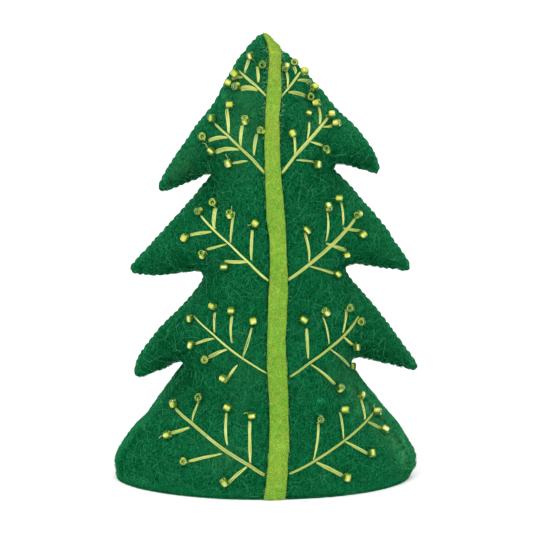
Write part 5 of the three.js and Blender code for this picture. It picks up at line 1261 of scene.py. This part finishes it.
def floss(line, width, strands, rng, m=20, lift=0.0, leaf=True, sink=(0.6, 0.6)):
    """Strands of one long stitch laid on the front skin along a 2-D line. Returns P, N, R."""
    L = poly_len(line)[-1]
    u = np.linspace(0, 1, m)
    c = along(line, u * L)
    t = unit(np.gradient(c, axis=0))
    side = np.stack([-t[:, 1], t[:, 0]], 1)
    if leaf:  # drawn together at the root hole, side by side under the bead
        spread = (0.22 + 0.78 * smooth01(u / 0.42)) * (1 - 0.3 * smooth01((u - 0.84) / 0.16))
    else:
        spread = np.sin(math.pi * np.clip(0.04 + u * 0.92, 0, 1)) ** 0.3
    Ps, Ns, Rs = [], [], []
    order = rng.permutation(strands)
    for j in range(strands):
        f = (j - (strands - 1) / 2) / max(1, (strands - 1))
        r = 0.15 + rng.uniform(-0.012, 0.02)
        room = max(0.12, width / 2 - r)
        wob = rng.uniform(-0.09, 0.09) * np.sin(u * math.pi * rng.uniform(1.0, 2.6) + rng.uniform(0, 6))
        off = f * 2 * room * (0.34 + 0.66 * spread) + wob * spread
        layer = 0.12 + 0.13 * (order[j] % 2) + 0.10 * (1 - abs(2 * f)) + lift
        pts, nrm = [], []
        for i in range(m):
            x, z = c[i] + side[i] * off[i]
            h, n = skin(x, z)
            e0, e1 = u[i] * L, (1 - u[i]) * L
            down = -sink[0] * math.exp(-(e0 / 0.35) ** 2) - sink[1] * math.exp(-(e1 / 0.35) ** 2)
            bow = 0.10 * math.sin(math.pi * u[i])
            pts.append(h + n * (layer + bow + down))
            nrm.append(n)
        Ps.append(pts)
        Ns.append(nrm)
        Rs.append(np.full(m, r) * (0.85 + 0.15 * spread))
    return np.array(Ps), np.array(Ns), np.array(Rs)


def sprigs():
    for si, (key, s) in enumerate(SPRIGS.items()):
        rng = np.random.default_rng(100 + si)
        parts, tones = [], []
        stem = np.array(s["stem"], float)
        tips = [np.array(b[:2], float) for b in s["beads"]]

        def clear(line):
            """Cut the outer end short where it would run into a bead."""
            L = poly_len(line)[-1]
            q = along(line, np.linspace(0, L, 80))
            keep = len(q)
            for i in range(len(q) - 1, 40, -1):
                if min(np.hypot(*(q[i] - b)) for b in tips) < 0.95:
                    keep = i
            return q[:keep]

        def add(P, N, R, way):
            """Way is the stitch's run: stitches that run across to the right, and less so those to the left, are
            painted darker, painted shade for how the light falls across the satin floss.
            """
            w = np.asarray(way, float) / np.hypot(*way)
            dir_shade = 0.62 * max(w[0], 0) ** 1.6 + 0.25 * max(-w[0], 0) ** 2
            parts.append(tubes(P, N, R, 7))
            for k in range(len(P)):
                tones.append(np.full(P.shape[1] * 7, min(1.0, 0.14 + dir_shade + 0.42 * rng.uniform(0, 1) ** 2)))

        line = clear(spline(stem, 0.6))
        wide = s["w"] * 0.88
        add(*floss(line, wide, 3 if wide < 1.02 else 4, rng, m=44, lift=0.10, leaf=False), line[-1] - line[0])
        for a, b, c, w in s["twigs"]:
            q = clear(curve2(a, b, c, 30))
            w = w * 0.86
            n = 2 if w < 0.72 else (3 if w < 1.02 else (4 if w < 1.3 else 5))
            add(*floss(q, w, n, rng, m=22, lift=0.0, leaf=True, sink=(0.25, 0.6)), q[-1] - q[0])
        V, F = join_parts(parts)
        ob = make("floss_" + key, V, F, FLOSS_MAT, replaces=("sprig_" + key,))
        tone(ob, np.concatenate(tones))


sprigs()


# ------------------------------------------------------------------ glass seed beads
def lathe(profile, seg):
    """Closed ring of a closed (radius, height) profile."""
    a = np.arange(seg) / seg * 2 * math.pi
    prof = np.asarray(profile, float)
    n = len(prof)
    V = np.stack([prof[None, :, 0] * np.cos(a)[:, None], prof[None, :, 0] * np.sin(a)[:, None], np.broadcast_to(prof[None, :, 1], (seg, n))], -1).reshape(-1, 3)
    i = np.arange(seg)[:, None]
    k = np.arange(n)[None, :]
    Q = np.stack(np.broadcast_arrays(i * n + k, i * n + (k + 1) % n, ((i + 1) % seg) * n + (k + 1) % n, ((i + 1) % seg) * n + k), -1).reshape(-1, 4)
    return V, Q


def bead_profile(R, h, r):
    c = min(0.46, h * 0.5)
    pts = []
    for t in np.linspace(0, 1, 5):                        # outer wall, slightly barrelled
        z = -h + c + t * 2 * (h - c)
        pts.append((R - 0.05 * (z / h) ** 2, z))
    for a in np.linspace(15, 90, 5):
        pts.append((R - 0.04 - c + c * math.cos(math.radians(a)), h - c + c * math.sin(math.radians(a))))
    pts.append((r + 0.18, h - 0.01))
    pts.append((r + 0.05, h - 0.09))
    pts.append((r, h - 0.24))
    pts.append((r, -h + 0.24))
    pts.append((r + 0.05, -h + 0.09))
    pts.append((r + 0.18, -h + 0.01))
    for a in np.linspace(90, 15, 5):
        pts.append((R - 0.04 - c + c * math.cos(math.radians(a)), -(h - c + c * math.sin(math.radians(a)))))
    return pts


CAM_E = math.radians(14.0)
FRONT_UP = np.array([0.0, math.sin(CAM_E), math.cos(CAM_E)])
FRONT_TO = np.array([0.0, -math.cos(CAM_E), math.sin(CAM_E)])
# loose ends of thread beside some beads: (sprig, bead): offsets in x, z from the bead
TAILS = {
    ("2_left", 4): [(-0.9, 0.6), (-1.3, 1.0), (-1.4, 1.6), (-2.1, 1.9), (-2.6, 1.8)],
    ("2_left", 5): [(0.1, 0.9), (-0.1, 1.6), (-0.5, 2.0), (-0.6, 2.5)],
    ("2_right", 5): [(-0.6, -0.9), (-1.0, -0.7), (-1.2, 0.1), (-1.6, 0.4)],
    ("3_left", 1): [(0.5, 1.0), (0.8, 1.5), (0.6, 2.0)],
    ("3_left", 2): [(-1.0, -0.4), (-1.6, -0.9), (-2.3, -0.9)],
    ("5_left", 2): [(-1.2, 0.3), (-1.9, 0.5), (-2.3, 0.1)],
    ("5_left", 3): [(-1.3, -0.9), (-2.0, -1.3), (-2.4, -1.9)],
    ("5_right", 3): [(-1.6, -0.2), (-0.6, -1.2), (0.5, -1.6), (1.0, -1.7)],
    ("5_right", 6): [(-1.1, 0.6), (-1.4, 1.1), (-1.3, 1.5)],
}


def beads():
    for si, (key, s) in enumerate(SPRIGS.items()):
        rng = np.random.default_rng(300 + si)
        glass, lining, thread, tails, tones = [], [], [], [], []
        ends = [np.array(t[1], float) for t in s["twigs"]] + [np.array(s["stem"][-1], float)]
        for bi, (x, z, turn, lean, loop, fdx, fdy, half, sr, sh) in enumerate(s["beads"]):
            R = 1.27 * sr * (1 + rng.uniform(-0.03, 0.03))
            h = 1.06 * sh * (1 + rng.uniform(-0.05, 0.05))
            r = min(0.44, R * 0.4)
            hit, n = skin(x, z)
            a, e = math.radians(turn), math.radians(lean)
            flat = math.cos(a) * np.array([1.0, 0, 0]) + math.sin(a) * FRONT_UP
            axis = unit(math.cos(e) * flat + math.sin(e) * FRONT_TO)
            k = abs(axis @ n)
            high = h * k + R * math.sqrt(max(0, 1 - k * k))
            rise = (high + 0.05) * min(1.6, 1 / max(0.3, abs(n[1])))
            c = np.array([x, hit[1] - rise, z])
            towards = n
            if abs(hit[0] - x) > 0.02 or abs(hit[2] - z) > 0.02:      # past the edge: sits beside the seam
                c = np.array([x, min(hit[1], -1.2) - 0.9, z])
                towards = FRONT_TO
            e1 = unit(np.cross(axis, [0.3, 0.2, 0.93]))
            e2 = np.cross(axis, e1)
            M = np.stack([e1, e2, axis], 0)
            prof = bead_profile(R, h, r)
            V, Q = lathe(prof, 28)
            glass.append((V @ M + c, [Q]))
            # painted reflection and shade round the axis: a bright band on the side that faces outwards, where the
            # lining would shine through, painted glints in it, darker flanks and ends, darker round the hole and at the
            # outer edge of the end faces, and painted streaks of caustic light
            face = unit(towards + 0.5 * FRONT_TO + (fdx, 0, 0) + fdy * FRONT_UP)
            face = unit(face - axis * (face @ axis)) if lean < 75 else FRONT_UP
            ang = np.arange(28) / 28 * 2 * math.pi
            ring = np.cos(ang)[:, None] * e1 + np.sin(ang)[:, None] * e2
            flank = np.degrees(np.arccos(np.clip(ring @ face, -1, 1)))[:, None]
            q = np.array(prof)[None]
            glow = rng.uniform(-1.0, 1.0)
            rad, end_f = q[..., 0], np.abs(q[..., 1]) / h
            glint = 0.15 * (1 - smooth01((flank - 5) / 9)) * (0.4 + 0.6 * np.cos(q[..., 1] / h * 1.6 + glow))
            side = 0.15 - glint + smooth01((flank - half + 16) / 20) * 0.74 + 0.10 * smooth01(flank / 30)
            wall = side + 0.5 * smooth01((end_f - 0.66) / 0.34)
            facef = 0.46 + 0.46 * smooth01((0.78 - rad) / 0.25) + 0.16 * smooth01((rad - 1.0) / 0.2) + 0.10 * np.cos(np.radians(flank * 2))
            on_face = smooth01((end_f - 0.86) / 0.12) * smooth01((1.22 - rad) / 0.2)
            p1, p2, p3 = rng.uniform(0, 2 * math.pi, 3)
            streak = 0.09 * np.sin(3 * ang[:, None] + p1) * np.cos(q[..., 1] / h * 1.3 + p2) + 0.06 * np.sin(5 * ang[:, None] + p3 + q[..., 1] / h)
            wall = wall + streak
            val = wall * (1 - on_face) + facef * on_face
            val = val + (rng.uniform(-0.12, 0.16) if lean > 60 else rng.uniform(-0.08, 0.08))
            tones.append(np.clip(val, 0, 1).ravel())
            hl = h - 0.16
            V, Q = lathe([(r - 0.05, -hl), (r + 0.05, -hl), (r + 0.05, hl), (r - 0.05, hl)], 20)
            lining.append((V @ M + c, [Q[:, ::-1]]))
            # the thread that holds the bead
            end = min(ends, key=lambda q: np.hypot(*(q - (x, z))))
            to = np.array([end[0] - x, 0, end[1] - z])
            to = unit(to - n * (to @ n)) if np.linalg.norm(to) > 0.05 else e1
            ax = axis if axis @ n >= 0 else -axis
            if loop:
                s1 = unit(np.cross(ax, to))
                t2 = unit(to - ax * (to @ ax))
                pts = [c - ax * (h + 0.35), c, c + ax * (h - 0.05), c + ax * (h + 0.14) + t2 * 0.4, c + ax * (h + 0.08) + t2 * (R * 0.75),
                       c + ax * (h * 0.35) + t2 * (R + 0.13), c - ax * (h + 0.5) + t2 * (R + 0.25)]
                nr = [s1] * 7
            else:
                s1 = unit(np.cross(axis, n))
                q = c - n * (R * 0.2)
                pts = [c - axis * (h + 0.02) - n * (R + 0.4), c - axis * (h - 0.02) - n * R * 0.5, c - axis * (h - 0.3), c, c + axis * (h - 0.3),
                       c + axis * (h - 0.02) - n * R * 0.5, c + axis * (h + 0.02) - n * (R + 0.4)]
                nr = [s1] * 7
            P, N = path_frames(pts, nr, 18)
            thread.append((P, N, 0.12 if loop else 0.07))
            if (key, bi) in TAILS:
                pts, nr = [c - n * (high - 0.2)], [n]
                for dx, dz in TAILS[(key, bi)]:
                    hh, nn = skin(x + dx, z + dz)
                    pts.append(hh + nn * rng.uniform(0.15, 0.5))
                    nr.append(nn)
                P, N = path_frames(pts, nr, 18)
                tails.append((P, N, 0.1))
        V, F = join_parts(glass)
        ob = make("seed_beads_" + key, V, F, GLASS_MAT, replaces=("beads_" + key,))
        tone(ob, np.concatenate(tones))
        V, F = join_parts(lining)
        make("bead_linings_" + key, V, F, LINING_MAT)
        thread += tails
        P = np.array([q[0] for q in thread])
        N = np.array([q[1] for q in thread])
        Rr = np.stack([np.full(18, q[2]) for q in thread])
        V, F = tubes(P, N, Rr, 6)
        ob = make("bead_thread_" + key, V, F, FLOSS_MAT)
        tone(ob, np.full(len(V), 0.6))


beads()


# ------------------------------------------------------------------ loose wool fibres
def fuzz(name, tree, areas, count, seed, mat, length=(1.8, 5.0), radius=(0.034, 0.06), lift=(0.03, 0.34), steps=7, curl=0.45, weights=None, skip=None):
    """Curly closed fibres that lie on a surface. areas: (verts, tris) to scatter on."""
    rng = np.random.default_rng(seed)
    V, F = areas
    A, B, C = V[F[:, 0]], V[F[:, 1]], V[F[:, 2]]
    ar = np.linalg.norm(np.cross(B - A, C - A), axis=1)
    if weights is not None:
        ar = ar * weights((A + B + C) / 3)
    idx = rng.choice(len(F), count, p=ar / ar.sum())
    u, v = rng.random(count), rng.random(count)
    flip = u + v > 1
    u[flip], v[flip] = 1 - u[flip], 1 - v[flip]
    start = A[idx] + (B[idx] - A[idx]) * u[:, None] + (C[idx] - A[idx]) * v[:, None]
    Ps, Ns, Rs = [], [], []
    for i in range(count):
        p = start[i]
        loc, n, _, _ = tree.find_nearest(Vector(p))
        if loc is None:
            continue
        n = np.array(n)
        d = unit(np.cross(n, rng.normal(size=3)))
        L = rng.uniform(*length) * rng.uniform(0.6, 1.0)
        step = L / (steps - 1)
        bend = rng.normal(0, curl)
        top = rng.uniform(*lift)
        q = np.array(loc)
        pts, nr = [], []
        for k in range(steps):
            f = k / (steps - 1)
            hgt = 0.02 + top * math.sin(math.pi * min(1, 0.12 + f * 0.88)) ** 0.8
            pts.append(q + n * hgt)
            nr.append(n)
            bend = 0.75 * bend + rng.normal(0, curl * 0.5)
            d = unit(d * math.cos(bend) + np.cross(n, d) * math.sin(bend))
            loc, nn, _, _ = tree.find_nearest(Vector(q + d * step))
            q, n2 = np.array(loc), np.array(nn)
            if n2 @ n < 0:
                n2 = -n2
            n = unit(n2)
            d = unit(d - n * (d @ n))
        Ps.append(pts)
        Ns.append(nr)
        r = rng.uniform(*radius)
        Rs.append(np.full(steps, r) * np.array([0.6] + [1] * (steps - 2) + [0.45]))
    V_, F_ = tubes(np.array(Ps), np.array(Ns), np.array(Rs), 3)
    ob = make(name, V_, F_, mat)
    tone(ob, np.repeat(rng.random(len(Ps)) ** 1.7, steps * 3))


FULL = 1.0
for part in "ab":
    fuzz("wool_front_" + part, TREE_F, (PF, F2), int(4600 * FULL), 41 + ord(part), FUZZ_MAT)
    fuzz("wool_back_" + part, TREE_B, (PB, F2), int(4200 * FULL), 61 + ord(part), FUZZ_MAT)
fuzz("wool_stray_front", TREE_F, (PF, F2), int(1200 * FULL), 51, STRAY_MAT, length=(2.5, 8.0), radius=(0.03, 0.045), lift=(0.1, 0.6), steps=12, curl=0.16)
fuzz("wool_stray_back", TREE_B, (PB, F2), int(800 * FULL), 52, STRAY_MAT, length=(2.5, 8.0), radius=(0.03, 0.045), lift=(0.1, 0.6), steps=12, curl=0.16)


def edge_w(c):
    return np.exp(-(seg_dist(c[:, [0, 2]], side_path, closed=False) / 1.0) ** 2)


fuzz("wool_edge_front", TREE_F, (PF, F2), int(3000 * FULL), 43, EDGE_FUZZ_MAT, length=(0.7, 1.8), lift=(0.08, 0.4), steps=5, weights=edge_w)
fuzz("wool_edge_back", TREE_B, (PB, F2), int(2600 * FULL), 44, EDGE_FUZZ_MAT, length=(0.7, 1.8), lift=(0.08, 0.4), steps=5, weights=edge_w)


def strip_edge_w(c):
    l, r = strip_at(c[:, 2])
    gap = np.minimum(np.abs(c[:, 0] - l + 0.25), np.abs(c[:, 0] - r - 0.25))
    return np.exp(-(gap / 0.4) ** 2) * (0.12 + smooth01((c[:, 2] - 100) / 25) + smooth01((c[:, 2] - 122) / 8)) * (c[:, 2] < 136)


fuzz("wool_strip_edge", TREE_F, (PF, F2), int(440 * FULL), 46, PALE_MAT, length=(0.8, 2.4), radius=(0.03, 0.05), lift=(0.2, 0.85), steps=6, weights=strip_edge_w)

m_, C_, _ = STRIP_O.shape
VS = STRIP_O.reshape(-1, 3)
i_ = np.arange(m_ - 1)[:, None] * C_
k_ = np.arange(C_ - 1)[None, :]
QS = np.stack(np.broadcast_arrays(i_ + k_, i_ + k_ + 1, i_ + C_ + k_ + 1, i_ + C_ + k_), -1).reshape(-1, 4)
FS = np.concatenate([QS[:, [0, 1, 2]], QS[:, [0, 2, 3]]])
n0 = np.cross(VS[FS[0, 1]] - VS[FS[0, 0]], VS[FS[0, 2]] - VS[FS[0, 0]])
if n0[1] > 0:
    FS = FS[:, ::-1]
TREE_S = BVHTree.FromPolygons([Vector(p) for p in VS], [tuple(f) for f in FS.tolist()])
def strip_rim_w(c):
    l, r = strip_at(c[:, 2])
    return np.exp(-(np.minimum(np.abs(c[:, 0] - l), np.abs(c[:, 0] - r)) / 0.35) ** 2)


fuzz("wool_strip_rim", TREE_S, (VS, FS), int(620 * FULL), 47, FUZZ_LIME, length=(0.5, 1.3), radius=(0.03, 0.05), lift=(0.04, 0.35), steps=5, weights=strip_rim_w)
fuzz("wool_strip", TREE_S, (VS, FS), int(1500 * FULL), 45, FUZZ_LIME, length=(0.8, 2.6), lift=(0.03, 0.25), steps=6)


# ------------------------------------------------------------------ floor, light and camera
def stage():
    m = Nodes("floor_paper")
    m.to(m.mix(m.noise(6, 2, 0.5), (0.93, 0.93, 0.93, 1), (0.95, 0.95, 0.95, 1)), "Base Color")
    m.set(Roughness=0.9, Specular_IOR_Level=0.1, Emission_Color=(1, 1, 1, 1), Emission_Strength=0.15)
    me = bpy.data.meshes.new("floor")
    s = 6.0
    me.from_pydata([(-s, -s, 0), (s, -s, 0), (s, s, 0), (-s, s, 0)], [], [(0, 1, 2, 3)])
    ob = bpy.data.objects.new("floor", me)
    bpy.context.scene.collection.objects.link(ob)
    me.materials.append(m.mat)
    w = bpy.data.worlds.new("studio")
    bpy.context.scene.world = w
    w.use_nodes = True
    bg = w.node_tree.nodes["Background"]
    bg.inputs[0].default_value = (1, 1, 1, 1)
    bg.inputs[1].default_value = 0.7

    def area(name, loc, target, size, power):
        d = bpy.data.lights.new(name, "AREA")
        d.shape, d.size, d.energy = "DISK", size, power
        o = bpy.data.objects.new(name, d)
        o.location = loc
        o.rotation_mode = "QUATERNION"
        o.rotation_quaternion = (Vector(target) - Vector(loc)).to_track_quat("-Z", "Y")
        bpy.context.scene.collection.objects.link(o)

    def sun(name, frm, angle, power):
        d = bpy.data.lights.new(name, "SUN")
        d.angle, d.energy = math.radians(angle), power
        o = bpy.data.objects.new(name, d)
        o.rotation_mode = "QUATERNION"
        o.rotation_quaternion = (-Vector(frm)).to_track_quat("-Z", "Y")
        bpy.context.scene.collection.objects.link(o)

    sun("high", (0.16, -0.5, 1.0), 76, 1.45)
    area("key", (-0.34, -0.84, 0.75), (0, 0, 0.07), 0.22, 2.6)


stage()

cam = bpy.data.cameras.new("camera")
cam.lens, cam.sensor_width = 200, 36
cam.clip_start, cam.clip_end = 0.05, 20
co = bpy.data.objects.new("camera", cam)
bpy.context.scene.collection.objects.link(co)
bpy.context.scene.camera = co
DIST = 901.954
TARGET = np.array([SX, SY, 67.333])
d = np.array([0, math.cos(CAM_E), -math.sin(CAM_E)])
co.location = Vector((TARGET - d * DIST) * MM)
co.rotation_mode = "QUATERNION"
co.rotation_quaternion = Vector(d).to_track_quat("-Z", "Y")
sc = bpy.context.scene
sc.view_settings.view_transform = "Standard"
sc.view_settings.look = "None"
sc.view_settings.exposure = 0.0
sc.view_settings.gamma = 1.0
